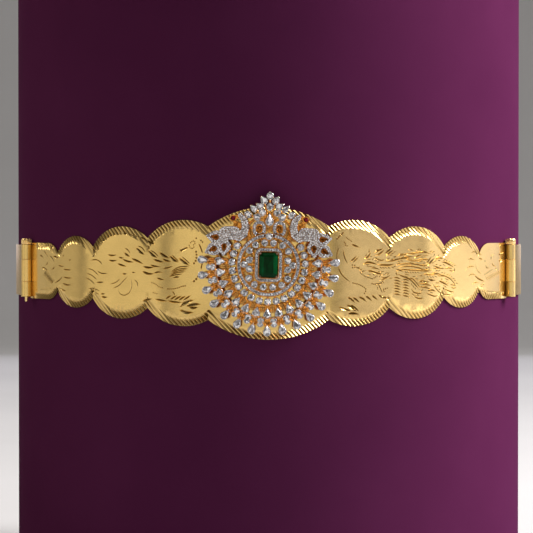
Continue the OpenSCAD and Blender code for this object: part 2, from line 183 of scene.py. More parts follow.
fold = [(drum_fold * (1 - math.cos(a)), drum_fold * (1 - math.sin(a))) for a in (0, 0.4, 0.8, 1.2, math.pi / 2)]
lid_r = drum_r - lid_edge - lid_fold
profile = ([(0, 0), (drum_r - drum_fold, 0)]
           + [(drum_r - out, up) for out, up in fold[::-1]][1:]
           + [(drum_r, drum_h * k / 8) for k in range(1, 8)]
           + [(drum_r - out, drum_h - up) for out, up in fold]
           + [(drum_r - lid_edge, drum_h - 0.05), (lid_r, drum_h - lid_fold), (lid_r, drum_h - lid_drop),
              (lid_middle, drum_h - lid_drop), (0, drum_h - lid_drop)])
back = math.pi / 2
angles = sorted([a for a in even_angles(180) if abs(a - back) > math.radians(1)]
                + [back + seam_half * k for k in (-1, -0.5, 0.5, 1)])
points, faces = turned(profile, angles)
points = [(x, y - seam_depth * (y > drum_r - 2 and abs(x) < drum_r * seam_half * 0.6), z) for x, y, z in points]
drum = made("drum_covering", points, faces, paper, "belt_on_drum", sharp=40)
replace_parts(drum, "display_drum")


# --- Back band --------------------------------------------------------------------------------------------------------
# A plain strip of polished gold sheet, bent to the waist, with the middle knuckle of each hinge soldered to its ends.
# It carries the soft rubbing marks of polishing along its length.


def group_of(name, inputs, outputs):
    """An empty shader group with named sockets, and its input and output nodes."""
    group = bpy.data.node_groups.new(name, "ShaderNodeTree")
    for way, sockets in (("INPUT", inputs), ("OUTPUT", outputs)):
        for label, kind in sockets.items():
            group.interface.new_socket(label, in_out=way, socket_type="NodeSocket" + kind)
    return group, add(group, "NodeGroupInput").outputs, add(group, "NodeGroupOutput")


# Marks of use and polishing, and painted shade from each surface's Depth, shared by every gold surface
marks, start, end = group_of("gold_marks_and_painted_shade",
                             {"Gold": "Color", "Deep gold": "Color", "Depth": "Float", "Shine": "Float"},
                             {"Colour": "Color", "Roughness": "Float", "Relief": "Float"})


def mixed(tree, share, one, other):
    return add(tree, "ShaderNodeMix", data_type="RGBA", inputs={0: share, 6: one, 7: other}).outputs[2]


where = object_place(marks)
cloud = noise(marks, where, 45, 3, 0.55)
rubbed = noise(marks, stretched(marks, where, (120, 120, 5200)), 1, 3, 0.6)
crossed = noise(marks, stretched(marks, where, (2600, 2600, 420), (0.2, 0.5, 0.3)), 1, 2, 0.5)
tired = ranged(marks, cloud, 0, 1, 0.35, 0.7)
# Deep gold comes in through a random cloud, and through Depth as painted shade
shade = calc(marks, "MULTIPLY_ADD", tired, 0.22, start["Depth"], clamp=True)
wear = calc(marks, "MULTIPLY_ADD", rubbed, 0.03, start["Shine"])
wear = calc(marks, "MULTIPLY_ADD", noise(marks, where, 1400, 3, 0.65), 0.08, wear)
feed(marks, end, Colour=mixed(marks, shade, start["Gold"], start["Deep gold"]),
     Roughness=calc(marks, "MULTIPLY_ADD", start["Depth"], 0.22, wear, clamp=True),
     Relief=calc(marks, "MULTIPLY_ADD", cloud, 40, calc(marks, "MULTIPLY_ADD", rubbed, 0.5, crossed)))


def gold_of(name, gold, deep, shine, relief=0.1):
    """Polished gold with the shared marks, with its tree and the marks' node. Depth there darkens a place as painted
    shade.
    """
    material, tree, shader = finish_of(name, Metallic=1.0)
    group = add(tree, "ShaderNodeGroup", node_tree=marks,
                inputs={"Gold": (*gold, 1), "Deep gold": (*deep, 1), "Depth": 0.0, "Shine": shine})
    feed(tree, shader, Base_Color=group.outputs["Colour"], Roughness=group.outputs["Roughness"],
         Normal=bumped(tree, group.outputs["Relief"], relief, 0.00004))
    return material, tree, group


def dress(node, finish):
    """Gives a solid of the frame its material."""
    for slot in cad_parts[node].material_slots:
        slot.material = finish


sheet_gold, sheet_deep = (1.0, 0.69, 0.25), (0.80, 0.44, 0.12)
plain_gold, _, _ = gold_of("plain_gold_sheet", sheet_gold, sheet_deep, 0.20)
dress("back_band", plain_gold)
dress("pendant_post", plain_gold)


# --- Front band -------------------------------------------------------------------------------------------------------
# One scalloped gold plate: a wide centre, three discs and an end plate on each side, bent to the same curve.
# Its rim is bevelled and cut with slanting diamond cuts, and two peacocks, their tails and branches are engraved on it.

belt_z, plate_r, plate_in = 140.0, 116.1, 115.3
centre_h, centre_edge_r = 55.3, 43.4
# Each disc beside the centre: distance round the belt, radius
discs = [(36.2, 22.2), (65.7, 19.5), (92.8, 15.4)]
end_h, end_corner_r, end_at, end_cuts_at, hinge_arc = 24.5, 9.7, 113.8, 118, 132.8
knuckle_reach, knob_room, knob_room_z, middle_gap = 130.96, 131.45, 11.5, 4.97
post_z, post_hole = 3.5, 2.06
# Rims of the centre, the three discs and the end plates: distance between cuts, their depth, the rim's width, and how
# much painted shade darkens the cuts
rim_pitch, rim_deep, rim_width, rim_painted_shade = np.array([
    (1.38, 0.52, 3.9, 1.0), (1.40, 0.52, 3.7, 1.0), (1.48, 0.48, 3.6, 0.9), (1.40, 0.46, 3.4, 0.9),
    (1.20, 0.46, 2.9, 1.0)]).T
bevel_drop, waist_half = 0.34, 9.9
# Share of the rim's width, from its inner edge, where its cuts have their full depth
rim_bare = 1 / 6
cut_way = math.radians(47)
along_cut = np.array([math.cos(cut_way), -math.sin(cut_way)])
across_cut = np.array([math.sin(cut_way), math.cos(cut_way)])
# Where the end plates' rim cuts run out, round the belt: lower edges, upper left edge, upper right edge
rim_end_low, rim_end_left, rim_end_right, rim_fade = 127, 126, 100, 3


def inside(s, z):
    """How far inside the outline places on the flat plate lie, and which shape holds them, counted from the centre."""
    def x(at):
        return plate_r * np.sin((s - at) / plate_r)
    low, high = centre_h / 2 - centre_edge_r, centre_edge_r - centre_h / 2
    shapes = [(0, np.minimum(centre_edge_r - np.hypot(x(0), z - low), centre_edge_r - np.hypot(x(0), z - high)))]
    for side in (-1, 1):
        for k, (at, r) in enumerate(discs, 1):
            shapes.append((side * k, r - np.hypot(x(side * at), z)))
        out = np.maximum(-side * x(side * end_at), 0)
        shapes.append((side * 4, end_corner_r - np.hypot(out, np.maximum(abs(z) - end_h / 2 + end_corner_r, 0))))
    depths = np.array([depth for _, depth in shapes])
    return depths.max(0), np.array([index for index, _ in shapes])[depths.argmax(0)]


def rim_share(s, z):
    """0 inside the rim and 1 at the outline."""
    depth, which = inside(s, z)
    depth = np.maximum(depth, waist_half - abs(z))
    return np.clip(1 - depth / rim_width[abs(which)], 0, 1), which


def rim_cut_here(s, z, which):
    """How strong the rim's cuts are. The right end plate's upper edge has none, and the others fade near the hinges."""
    reach = np.where(z > 0, np.where(s < 0, rim_end_left, rim_end_right), rim_end_low)
    return np.where(abs(which) == 4, np.clip((reach - abs(s)) / rim_fade, 0, 1), 1.0)


# The engraver's cuts. Each: kind, width, then the places that it passes through, round the belt and up from its middle
left_cuts = [
    ("dots", 0.55, (-76.4, 12.5), (-73.3, 14.6), (-69.5, 15.9), (-65.9, 16.3)),
    ("dots", 0.6, (-64.7, 16.4), (-62.3, 16.3), (-60.3, 15.9), (-58.2, 15.4), (-56.2, 14.9)),
    ("leaf", 0.8, (-56.4, 15), (-54.4, 14.3), (-52.5, 13.2)), ("leaf", 1.3, (-52.2, 13.2), (-50.7, 12.7), (-49.3, 12)),
    ("leaf", 0.9, (-79.8, 11), (-78.6, 10), (-77.6, 9.4)), ("leaf", 0.8, (-72.9, 7.5), (-70.8, 7.2), (-68.1, 7.5)),
    ("leaf", 0.8, (-72.5, 5.3), (-70.6, 4.9), (-67.9, 5.2)), ("leaf", 0.7, (-67.1, 6.6), (-65.9, 6.2), (-64.3, 6.2)),
    ("leaf", 1, (-64.4, 8.5), (-62.9, 7.5), (-61.1, 6.7)), ("line", 0.5, (-63.9, 10.4), (-62.3, 9.5), (-61.2, 7.9)),
    ("leaf", 0.9, (-65.2, 5.7), (-62.7, 4.8), (-59.3, 4.4)), ("leaf", 0.9, (-67.7, 3.8), (-65.5, 3.1), (-62.9, 2.6)),
    ("leaf", 1, (-60.5, 6), (-57.7, 5), (-54.7, 3.7)), ("leaf", 1.3, (-58.2, 10.5), (-56.4, 8.9), (-54.1, 7.6)),
    ("line", 0.5, (-57.4, 11.3), (-55.3, 10.5), (-53.8, 8.7)), ("leaf", 1.2, (-52.5, 9.4), (-50.4, 7.6), (-48, 6.3)),
    ("line", 0.5, (-51.4, 9.5), (-49.5, 8.6), (-47.5, 6.8)), ("leaf", 1, (-54.8, 2.6), (-52.2, 2.2), (-49.5, 2.4)),
    ("leaf", 0.8, (-51.4, 3.4), (-49.3, 2.8), (-46.6, 2.7)), ("leaf", 1.1, (-55.2, 0.6), (-52.2, -0.4), (-49.5, -0.3)),
    ("leaf", 0.7, (-65.2, -0.5), (-64.1, -0.6), (-62.9, -0.4)), ("leaf", 0.6, (-60.3, 0.1), (-59.6, 0.1), (-58.7, 0.1)),
    ("leaf", 0.7, (-79.4, -4.3), (-77.4, -4.3), (-75.2, -4.1)),
    ("leaf", 0.7, (-76.9, -9.2), (-75.8, -9.2), (-74.5, -9.1)),
    ("leaf", 0.9, (-76.6, -10.3), (-75, -10.6), (-73.1, -10.5)),
    ("line", 0.5, (-83, 5.1), (-79.4, 5.3), (-76.9, 4.2), (-76.1, 2.9)),
    ("line", 0.5, (-78.9, 0.6), (-76.7, -0.4), (-73.3, -0.5)),
    ("line", 0.4, (-70.4, -6.8), (-67.1, -5.5), (-64.7, -3.5), (-62.3, -1.5)),
    ("line", 0.4, (-71.6, -4.9), (-68.7, -4.2), (-66.3, -2.5)),
    ("line", 0.4, (-67.5, -6.8), (-66.7, -8.7), (-64.3, -9.6), (-61.6, -8.3), (-60.4, -5.4), (-60.8, -2.5)),
    ("line", 0.4, (-59.3, -2.8), (-57.7, -4.1), (-57.4, -6)), ("line", 0.4, (-84.8, 1.5), (-81.6, 0.9), (-78, -1.4)),
    ("line", 0.4, (-85.3, -0.5), (-82.1, -1.4), (-78.9, -3.3)),
    ("line", 0.4, (-85.8, -2.5), (-83, -3.4), (-80.2, -5.3)), ("line", 0.4, (-84.4, -7), (-80.7, -7), (-77.1, -8.2)),
    ("line", 0.4, (-83.9, -8.3), (-80.7, -8.6), (-77.6, -9.5)),
    ("leaf", 0.9, (-55.2, -11.9), (-53.3, -11.3), (-50.4, -10.9)), ("dots", 0.65, (-30.8, 15), (-30.3, 14.2)),
    ("dots", 0.65, (-28.7, 14.1), (-28.3, 13.4), (-27.4, 12.7)),
    ("dots", 0.5, (-33.3, 12.4), (-32.3, 13.3), (-31.3, 13.4), (-31.1, 12.3), (-32, 11.6)),
    ("dots", 0.5, (-31.3, 11.2), (-32.3, 10.2), (-33.3, 10.9), (-33.7, 12)),
    ("leaf", 1.6, (-37.8, 9.2), (-35.9, 10.2), (-34, 10.7)),
    ("dots", 0.8, (-30.9, 9.5), (-30.4, 8.3), (-30.5, 6.4), (-30.9, 4.8), (-32, 3.7)),
    ("line", 0.6, (-29.4, 12.3), (-28.7, 10.9), (-27.7, 8.3)), ("line", 0.6, (-27.6, 4.8), (-28.2, 3.2), (-28.4, 1.5)),
    ("dots", 0.9, (-29.3, -0.8), (-30.3, -2.2), (-32, -3.8)),
    ("dots", 0.6, (-35, -5.3), (-36.7, -5.5), (-38.4, -6.1), (-40.5, -6.6), (-43.6, -6.7)),
    ("leaf", 1.3, (-38.2, 6.3), (-36.2, 4.8), (-33.7, 3.3)), ("line", 0.5, (-36.9, 6.9), (-35, 5.4), (-33.2, 3.8)),
    ("leaf", 1.3, (-42.5, 7.2), (-40.7, 5.6), (-38.4, 4.5)), ("line", 0.5, (-41.4, 7.6), (-39.5, 6), (-38.1, 4.8)),
    ("leaf", 1.2, (-47.1, 8.6), (-45, 7.3), (-42.6, 6.2)), ("leaf", 1, (-49.9, 5.7), (-47.5, 5), (-45, 4.5)),
    ("leaf", 0.9, (-45.7, 6), (-44, 5.2), (-41.7, 4.8)), ("leaf", 0.7, (-49.7, -0.1), (-47.5, 0.4), (-45.7, 0.2)),
    ("leaf", 0.7, (-45.4, 1.8), (-43.3, 2.2), (-40.7, 2.9)),
    ("line", 0.5, (-33, 3.1), (-35.4, 2.8), (-38.4, 2.4), (-41.9, 0.6)),
    ("line", 0.5, (-33.7, 2.2), (-36.1, 1.9), (-38.8, 1.5), (-41.9, 0.2)),
    ("line", 0.5, (-34.4, 1.4), (-36.7, 1.2), (-39.5, 0.6), (-42.1, -0.4)),
    ("line", 0.5, (-35, 0.6), (-37.4, 0.4), (-40.2, -0.2), (-42.6, -1.2)),
    ("line", 0.5, (-36.4, -0.3), (-38.4, -0.6), (-40.9, -1), (-42.8, -1.8)),
    ("leaf", 0.8, (-37.9, -1.6), (-39.5, -1.7), (-40.9, -2)),
    ("leaf", 0.8, (-48.4, -2.1), (-46.6, -2.6), (-44.9, -2.8)),
    ("dots", 0.5, (-51.1, -4), (-49, -4.6), (-47.2, -5.9), (-45.4, -6.3)),
    ("dots", 0.5, (-50.4, -8.2), (-49, -8.5), (-47.9, -8.8)), ("line", 0.5, (-41.2, -7.4), (-40.5, -8.4), (-40, -9.3)),
    ("leaf", 0.9, (-49, -11), (-46.1, -11.5), (-43.3, -11.8)),
    ("leaf", 0.9, (-43.3, -11.6), (-40.5, -12.1), (-36.4, -12.3)),
    ("leaf", 0.9, (-44.2, -11), (-42.9, -10), (-41.5, -9.4)),
    ("leaf", 0.9, (-42.2, -11.3), (-40.7, -10.2), (-38.9, -9.4)),
    ("leaf", 0.9, (-40.3, -11.4), (-38.8, -10.4), (-36.9, -9.5)),
    ("leaf", 0.9, (-38.4, -11.5), (-36.7, -10.4), (-35, -9.5)),
    ("leaf", 0.9, (-36.4, -11.5), (-34.7, -10.4), (-32.9, -9.2)),
    ("leaf", 2, (-37.8, -14.1), (-35.4, -12.2), (-31.7, -11.2)),
    ("leaf", 1.8, (-34.9, -13.8), (-32, -12.9), (-28.8, -13)),
    ("leaf", 1.3, (-33.7, -14.2), (-31.7, -14.5), (-29.8, -14.2)),
    ("leaf", 1.6, (-37.8, -15.4), (-35, -16.4), (-31.8, -16.4)),
    ("leaf", 0.8, (-27.3, -16.6), (-26.4, -17.5), (-25.5, -18.6)),
    ("hook", 0.9, (-121.1, 6.9), (-118.4, 6.2), (-117.3, 5)), ("hook", 1.01, (-113.4, 4), (-114.5, 3.1), (-116.3, 2.3)),
    ("hook", 1.01, (-107.8, 1.9), (-109.1, 1.2), (-110.8, 0.5)),
    ("leaf", 1.12, (-118.9, 1.5), (-116.8, 1.1), (-113.8, 0.4)),
    ("fringe", 0.54, (-114.8, 0.4), (-108.2, -4), (-117.9, -1.8), (-110.9, -5.4)),
    ("line", 0.56, (-107.5, -5), (-103.9, -3.7), (-101.6, -2.2)),
    ("leaf", 1.12, (-108.9, 6.5), (-107.1, 6.2), (-104.7, 5.8)),
    ("leaf", 0.67, (-102, 6.2), (-101.2, 6.8), (-100.4, 7.3)), ("leaf", 0.6, (-97.1, 4.9), (-96.3, 5.1), (-95.6, 5.2)),
    ("leaf", 1.23, (-111.2, 11.1), (-109.8, 10.6), (-108.6, 10.2)),
    ("dots", 0.8, (-118.7, 12.2), (-115.8, 12), (-112.8, 11.4)),
    ("leaf", 0.56, (-121.4, 10.8), (-120, 9.8), (-118.9, 9)),
    ("leaf", 0.56, (-117.3, 8.9), (-115.3, 7.7), (-113.3, 6.1)),
    ("leaf", 0.56, (-111.9, 6.8), (-109.6, 5.7), (-107.8, 3.8)),
    ("leaf", 0.56, (-104.7, 2.6), (-102.6, 2.3), (-100.2, 2.3)), ("leaf", 0.7, (-100.8, 1), (-98, 0.8), (-95.2, 0.7)),
    ("leaf", 0.7, (-101, -2.4), (-97.8, -2.7), (-94.6, -2.7)),
    ("leaf", 0.78, (-101.4, -5.1), (-98.6, -5.7), (-95.2, -5.7)),
    ("leaf", 0.78, (-103.5, -7.4), (-101.4, -8), (-99, -8.3)),
    ("leaf", 1.01, (-107.3, -6.8), (-105.8, -7.7), (-104.3, -9.1)),
    ("dots", 0.8, (-120.6, -8.1), (-115.8, -7.8), (-111.9, -7.5), (-109.6, -7.7))]
right_cuts = [
    ("leaf", 0.9, (35.2, 12.1), (38.8, 10.7)), ("line", 0.5, (31.8, 9.6), (31.9, 7.7), (32.5, 5.8), (33.4, 4.2)),
    ("leaf", 0.7, (34.8, 4.8), (37.6, 7.2)), ("leaf", 0.6, (35.8, 4.4), (38.5, 6.8)),
    ("line", 0.5, (29.1, 3.2), (30.6, 0), (32.3, -1.9), (34.8, -3.8)),
    ("dots", 0.55, (29.6, 10.4), (28.9, 8.3), (28.8, 6.4), (29.1, 3.8)),
    ("dots", 0.6, (35.5, -4), (37, -4.4), (38.9, -4.9), (40.9, -6), (41.9, -7)),
    ("dots", 0.6, (41.9, -7.3), (41.2, -8.1), (40.9, -9)),
    ("dots", 0.6, (28.5, 14.1), (29.4, 14.7), (30.5, 15.9), (31.8, 17.2)),
    ("dots", 0.5, (32.6, 15), (33.7, 14.3), (34.7, 13.7), (35.4, 13.1)),
    ("dots", 0.5, (31.8, 13), (32.6, 12.7), (32.4, 11.8), (33.7, 11.3)),
    ("dots", 0.6, (35.2, 3.8), (36.1, 3.1), (37.1, 3.5)),
    ("dots", 0.6, (35.3, 2.2), (36.9, 2.5), (38.1, 2.2), (39.2, 1.5), (40.5, 0.5)),
    ("dots", 0.5, (38.9, 0.3), (41.2, -1.3), (44.7, -2.3), (47.1, -1.1)),
    ("leaf", 0.8, (41, 5.9), (42.6, 6.8), (44, 8.7)), ("leaf", 0.8, (45.7, 8.5), (47.5, 9.4), (49.7, 10.2)),
    ("leaf", 0.8, (46.5, 7.4), (48.4, 8.3), (50.3, 9.8)), ("leaf", 0.7, (45.4, 6.3), (46.6, 6.1), (47.9, 5.5)),
    ("leaf", 0.7, (47.1, 5.8), (48.5, 5.3), (50, 5.2)), ("leaf", 0.8, (50.4, 8.1), (52, 9.2), (53.8, 10.5)),
    ("leaf", 0.8, (51.2, 7.4), (52.9, 8.5), (54.6, 9.7)),
    ("leaf", 0.9, (40.5, 3.6), (42.4, 4.5), (45, 4.1), (47.1, 3.4)),
    ("leaf", 1, (47.1, 3.4), (49.6, 3.3), (52.2, 3.2), (55, 3.7)),
    ("leaf", 1.2, (42.4, 1), (44.7, 0.6), (47.1, -0.1), (49.8, -0.8)),
    ("leaf", 0.7, (48.7, -1.8), (50.7, -2.1), (52.9, -1.1)), ("leaf", 0.6, (44, 2.2), (46.1, 2), (48.2, 1.4)),
    ("line", 0.5, (47.5, -4.5), (48.3, -6.2), (49.4, -8.5)),
    ("dots", 0.6, (44.1, -4.3), (45.4, -4.7), (47.1, -4.6), (48.7, -4.1), (49.8, -3.3)),
    ("dots", 0.6, (49.5, -7), (50.7, -6.7), (52.1, -6.3)), ("leaf", 0.8, (55.9, 0.5), (56.1, -1.1)),
    ("leaf", 1.2, (33.6, -10.1), (35.2, -10.9), (36.7, -12.3)),
    ("leaf", 1, (35.8, -10.1), (37.4, -11.1), (38.8, -12.3)), ("leaf", 1, (38.4, -9.9), (40.5, -10.8), (42, -12.1)),
    ("leaf", 1, (41.5, -9.6), (43.1, -10.5), (44.3, -11.7)), ("leaf", 1, (44.4, -9.3), (45.7, -10.2), (47.1, -11.4)),
    ("leaf", 0.9, (47.5, -9.2), (48.7, -9.9), (50, -10.8)), ("leaf", 0.8, (49.1, -9.8), (50.6, -10.4), (51.6, -10.8)),
    ("leaf", 1.5, (29.8, -14.3), (32, -14.8), (34.8, -15.9)),
    ("leaf", 1.4, (33.3, -13.4), (35.3, -14.3), (37.2, -16.1)),
    ("leaf", 1.2, (34.7, -13.4), (36.7, -14.3), (38.4, -16)), ("leaf", 1.2, (33.7, -17), (36, -16.8), (38.6, -17.3)),
    ("line", 0.6, (50.5, 4.9), (53.8, 5), (57.9, 5.9), (62.9, 6.2)),
    ("line", 0.6, (55.3, 6.9), (61, 7.8), (65.7, 8.3), (69.7, 8.6), (74.3, 7.7)),
    ("line", 0.6, (54, 5.6), (57.2, 5.8), (60.2, 6.6), (64.9, 6.7)), ("leaf", 0.8, (65.1, 6.2), (66.9, 7), (68.9, 7.5)),
    ("line", 0.6, (55.7, 3.2), (60.2, 3.7), (64.9, 3.6), (69.7, 2.9), (73.5, 3.1)),
    ("line", 0.6, (56.4, 2.1), (61.7, 2.7), (66.5, 2.2), (70.5, 1.1), (76, 0.9)),
    ("line", 0.6, (55.3, 0.6), (59.1, 1.3), (63.3, 1.1), (68.9, 0.8), (73.9, 0)),
    ("line", 0.6, (61.4, 5.3), (64.9, 4.9), (68.5, 5.5), (72.2, 5.2)),
    ("leaf", 0.9, (72.2, 2.9), (73.9, 4.5), (76, 6.1)), ("leaf", 0.8, (71.4, 3.6), (72.8, 5.2), (74.4, 6.6)),
    ("line", 0.7, (56.2, -0.3), (59.1, -1.5), (62.5, -2.7), (64.9, -4.5), (67.7, -7.3)),
    ("line", 0.6, (61.7, -2.2), (64.5, -2.8), (66.5, -4.6), (68.9, -6.9)),
    ("line", 0.6, (66.9, -3.5), (69.7, -3.6), (72.6, -4.6)), ("line", 0.6, (67.3, -4.7), (70.5, -5), (74.3, -5.7)),
    ("line", 0.6, (67.3, -6), (70.5, -6.3), (73.9, -7.2)),
    ("line", 0.6, (69.7, -0.6), (73.9, -1), (77.3, -0.7), (80.9, -1.4)),
    ("leaf", 0.8, (72.2, -2.6), (74.3, -3.4), (76.5, -3.3)), ("leaf", 0.8, (72.6, -7.7), (74.7, -7.5), (76.7, -8.2)),
    ("line", 0.6, (71.4, -8.8), (73.5, -9.5), (76, -10.2), (77.8, -9.9)),
    ("line", 0.6, (63.3, -6.7), (64.9, -8.3), (67.3, -8.9), (68.9, -8.7)),
    ("line", 0.6, (64.9, -10), (67.3, -11), (69.7, -10.9)), ("line", 0.7, (75.6, 5.2), (78.2, 6.1), (80.9, 5.8)),
    ("leaf", 0.9, (80, 4.4), (82.7, 4), (85.5, 2.9), (87.7, 1.8)), ("line", 0.6, (87.7, 1.8), (87.9, 0.8), (86, 0)),
    ("line", 0.6, (75.2, 2.9), (78.2, 1.9), (81.8, 1.5)), ("line", 0.6, (81.8, 1.5), (84.6, 1.8), (86.5, 1.3)),
    ("line", 0.6, (77.8, -1.1), (80.9, -1.4), (85.1, -2.8), (87.7, -4.8), (89.1, -6.5)),
    ("line", 0.6, (74.7, -4.3), (76.5, -6.6), (79.1, -8.6), (82.7, -9.6), (86.5, -9.7)),
    ("leaf", 1, (78.4, -3.7), (81.1, -4.5), (84.1, -5.9)), ("line", 0.6, (81.8, -7), (84.1, -8), (87.2, -8.7)),
    ("line", 0.5, (85.1, -5.2), (87, -5.6), (88.9, -5.6)), ("line", 0.5, (85.5, -6.6), (87.4, -6.9), (88.9, -6.8)),
    ("leaf", 0.5, (99.1, 8), (101.5, 8.6), (104.4, 7.3)), ("leaf", 0.5, (97, 5.1), (98.7, 5.6), (101.7, 4.9)),
    ("leaf", 0.5, (96.1, 1.5), (98.5, 2.3), (101.9, 2)), ("leaf", 0.5, (97.2, -1.8), (100.1, -1.1), (102.7, -1.6)),
    ("leaf", 0.5, (99.7, -5.6), (102.1, -4.7), (104.8, -4.9)), ("leaf", 0.78, (104.9, 5.7), (106.5, 5.5), (108.1, 5.1)),
    ("line", 0.45, (102.5, 3.9), (102.7, 2), (104.2, 0.1), (106.8, -1.1)),
    ("leaf", 1.01, (101.7, -1.7), (105, -3.2), (109.7, -4.5)),
    ("leaf", 0.67, (105.9, -6.8), (107.6, -6), (109.5, -5.3)),
    ("dots", 0.72, (109.4, -1.6), (112.9, -0.4), (116.9, 0.8)), ("dots", 0.8, (118.8, 1), (121.7, 0.7)),
    ("dots", 0.8, (109.9, 4.5), (110, 4.4)), ("hook", 0.9, (110.3, 2.6), (111.5, 1.6), (113.9, 1.2)),
    ("hook", 0.9, (115.9, 3.4), (117.5, 2.5), (120.7, 1.7)), ("hook", 0.9, (115.3, 5), (115.4, 6.3), (118.3, 7.7)),
    ("hook", 1.23, (123, 4.6), (125.7, 4.1), (126.9, 5.2), (127.9, 7.6)),
    ("leaf", 0.78, (122.4, 7.4), (125.1, 7.2), (128.2, 7.9)),
    ("fringe", 0.48, (110.1, -2.1), (121.5, 0.2), (112.9, -4.3), (125.1, -1.4)),
    ("dots", 0.72, (108.1, -8.6), (113.2, -8.8), (118.3, -9.1), (123.9, -9.5), (128.5, -9.6)),
    ("leaf", 0.5, (60.7, 5.5), (62.4, 5.7), (64.4, 5.7)), ("leaf", 0.6, (56.8, 7.7), (58.1, 7.7), (59.6, 8.1)),
    ("leaf", 0.6, (54.6, 6.6), (55.3, 6.7), (56.1, 6.8)), ("leaf", 0.5, (53.2, 5.6), (54, 5.7), (54.9, 5.5)),
    ("leaf", 0.45, (56.3, 3.9), (57.2, 4), (58.3, 3.8)), ("leaf", 0.5, (59.1, 2.5), (60.3, 2.5), (61.9, 2.7)),
    ("leaf", 0.5, (64.6, 3.4), (66.2, 3.6), (68, 3.5)), ("line", 0.35, (69.3, 7.4), (70.7, 7.2), (72.5, 7.3)),
    ("leaf", 0.5, (69.5, 9.3), (70.6, 8.8), (72, 8.6)), ("leaf", 0.6, (55.6, 1.6), (57.4, 1.1), (59.4, 0.4)),
    ("leaf", 0.5, (64.6, 9.2), (63.2, 9.7), (61.9, 9.3)), ("line", 0.35, (61.2, 7.6), (63.2, 7.8), (65.5, 7.7)),
    ("leaf", 0.5, (70, 5.6), (71.2, 5.7), (72.8, 5.4)), ("leaf", 0.5, (66.9, 4.6), (68.4, 4.7), (69.5, 4.5)),
    ("line", 0.35, (61.9, 4.4), (63.7, 4), (65.1, 4)), ("leaf", 0.6, (67.3, -4), (68.5, -3.9), (69.8, -4.2)),
    ("leaf", 0.5, (70.3, -3.7), (71.6, -3.9), (73.2, -3.8)), ("leaf", 0.45, (70, -4.5), (71.1, -4.5), (72.2, -4.8)),
    ("leaf", 0.5, (73.2, -2.7), (74.9, -3.3), (76.6, -3.5)), ("leaf", 0.6, (74.2, -0.3), (75.9, -0.3), (78.5, -0.5)),
    ("leaf", 0.6, (77.5, -1.5), (80, -1.6), (82.7, -2)), ("leaf", 0.5, (75.7, -6.1), (77.5, -6), (79.4, -6.2)),
    ("leaf", 0.8, (72.1, -7.8), (73.2, -7.7), (74.3, -7.9)), ("leaf", 0.5, (66.8, -8.8), (67.6, -8.7), (68.6, -8.9)),
    ("leaf", 0.5, (65.9, -9.8), (66.7, -9.6), (67.5, -9.8)), ("leaf", 0.5, (63.6, -8.7), (64.4, -9.2), (65.8, -10.1)),
    ("line", 0.35, (74.6, 3), (76.4, 2.5), (78.9, 2.1)), ("leaf", 0.5, (75.1, 1.8), (76.7, 1.6), (78.4, 1.5)),
    ("leaf", 0.5, (84.3, 0.6), (85.7, 0.6), (87.4, 0.2)), ("leaf", 0.4, (84.6, -8.3), (86, -8.3), (87.5, -8.6)),
    ("leaf", 0.45, (81.9, -2.7), (83.2, -3.1), (84.6, -3.5)), ("line", 0.35, (80.8, -5.5), (82.2, -6.1), (83.2, -6.9)),
    ("leaf", 0.5, (76.4, -4.5), (77.7, -4.5), (79.1, -4.7)), ("leaf", 0.45, (59.9, -1.6), (61, -1.7), (62.1, -2)),
    ("leaf", 0.45, (59.9, -0.5), (61.2, -0.8), (62.6, -1.1)), ("leaf", 0.5, (67.6, -1.4), (68.6, -1.4), (69.5, -1.7)),
    ("leaf", 0.45, (70.3, -5.6), (71.2, -5.9), (72.2, -6)), ("leaf", 0.45, (69.8, -0.8), (70.7, -0.8), (72, -0.9)),
    ("leaf", 0.5, (37.7, 1.8), (38.2, 2.3), (39, 2.6)), ("leaf", 0.5, (38.9, 1.1), (39.4, 1.6), (40.1, 1.8)),
    ("leaf", 0.5, (39.7, 0.2), (40.4, 0.8), (41.7, 1)), ("leaf", 0.4, (42.5, -1), (43.2, -0.7), (43.9, -0.8)),
    ("dots", 0.5, (41.3, -1.5), (42.7, -1.8), (44.9, -2.5)), ("dots", 0.5, (46.3, -4.5), (48.6, -4.5), (50.1, -3.9)),
    ("dots", 0.5, (47.6, -1.6), (49.6, -0.8), (51.9, 0.2)), ("leaf", 0.5, (48.3, -3.1), (49.8, -2.7), (51.6, -2.3)),
    ("dots", 0.45, (45.7, 5), (47.1, 5.5), (49, 5.4)), ("dots", 0.5, (44.3, 5.6), (46, 6.1), (48, 5.8)),
    ("leaf", 0.5, (45.9, 9.2), (46.7, 9.5), (47.5, 10.1)), ("leaf", 0.45, (46, 7.5), (46.9, 7.6), (48.3, 7.3)),
    ("dots", 0.5, (29.1, 14.3), (30.3, 15.9), (31.7, 16.7)), ("dots", 0.45, (42.1, 2.9), (43.8, 2.7), (46.1, 2.5)),
    ("leaf", 0.45, (48.8, 5.1), (49.4, 5.4), (50.2, 5.9)), ("line", 0.35, (47.3, -4.8), (48, -5.8), (48.3, -6.9))]
# The comb of short even cuts beside the right bird: two columns of seven
for drop in np.arange(7) * 1.15:
    right_cuts += [("leaf", 0.7, (start, up - drop), (start + 1.8, up - 0.25 - drop), (start + 3.5, up - 0.8 - drop))
                   for start, up in ((54.7, -1.9), (59.0, -2.7))]
cut_slope, cut_most, dot_step = 1.3, 0.55, 1.5


def smooth_way(places, step=0.7):
    """Points along a smooth line through some places."""
    p = [np.array(place, float) for place in places]
    p = [2 * p[0] - p[1]] + p + [2 * p[-1] - p[-2]]
    way = []
    for a, b, c, d in zip(p, p[1:], p[2:], p[3:]):
        count = max(2, int(np.linalg.norm(c - b) / step))
        for t in np.arange(count) / count:
            way.append(0.5 * (2 * b + (c - a) * t + (2 * a - 5 * b + 4 * c - d) * t ** 2
                              + (3 * b - a - 3 * c + d) * t ** 3))
    return np.array(way + [p[-2]])


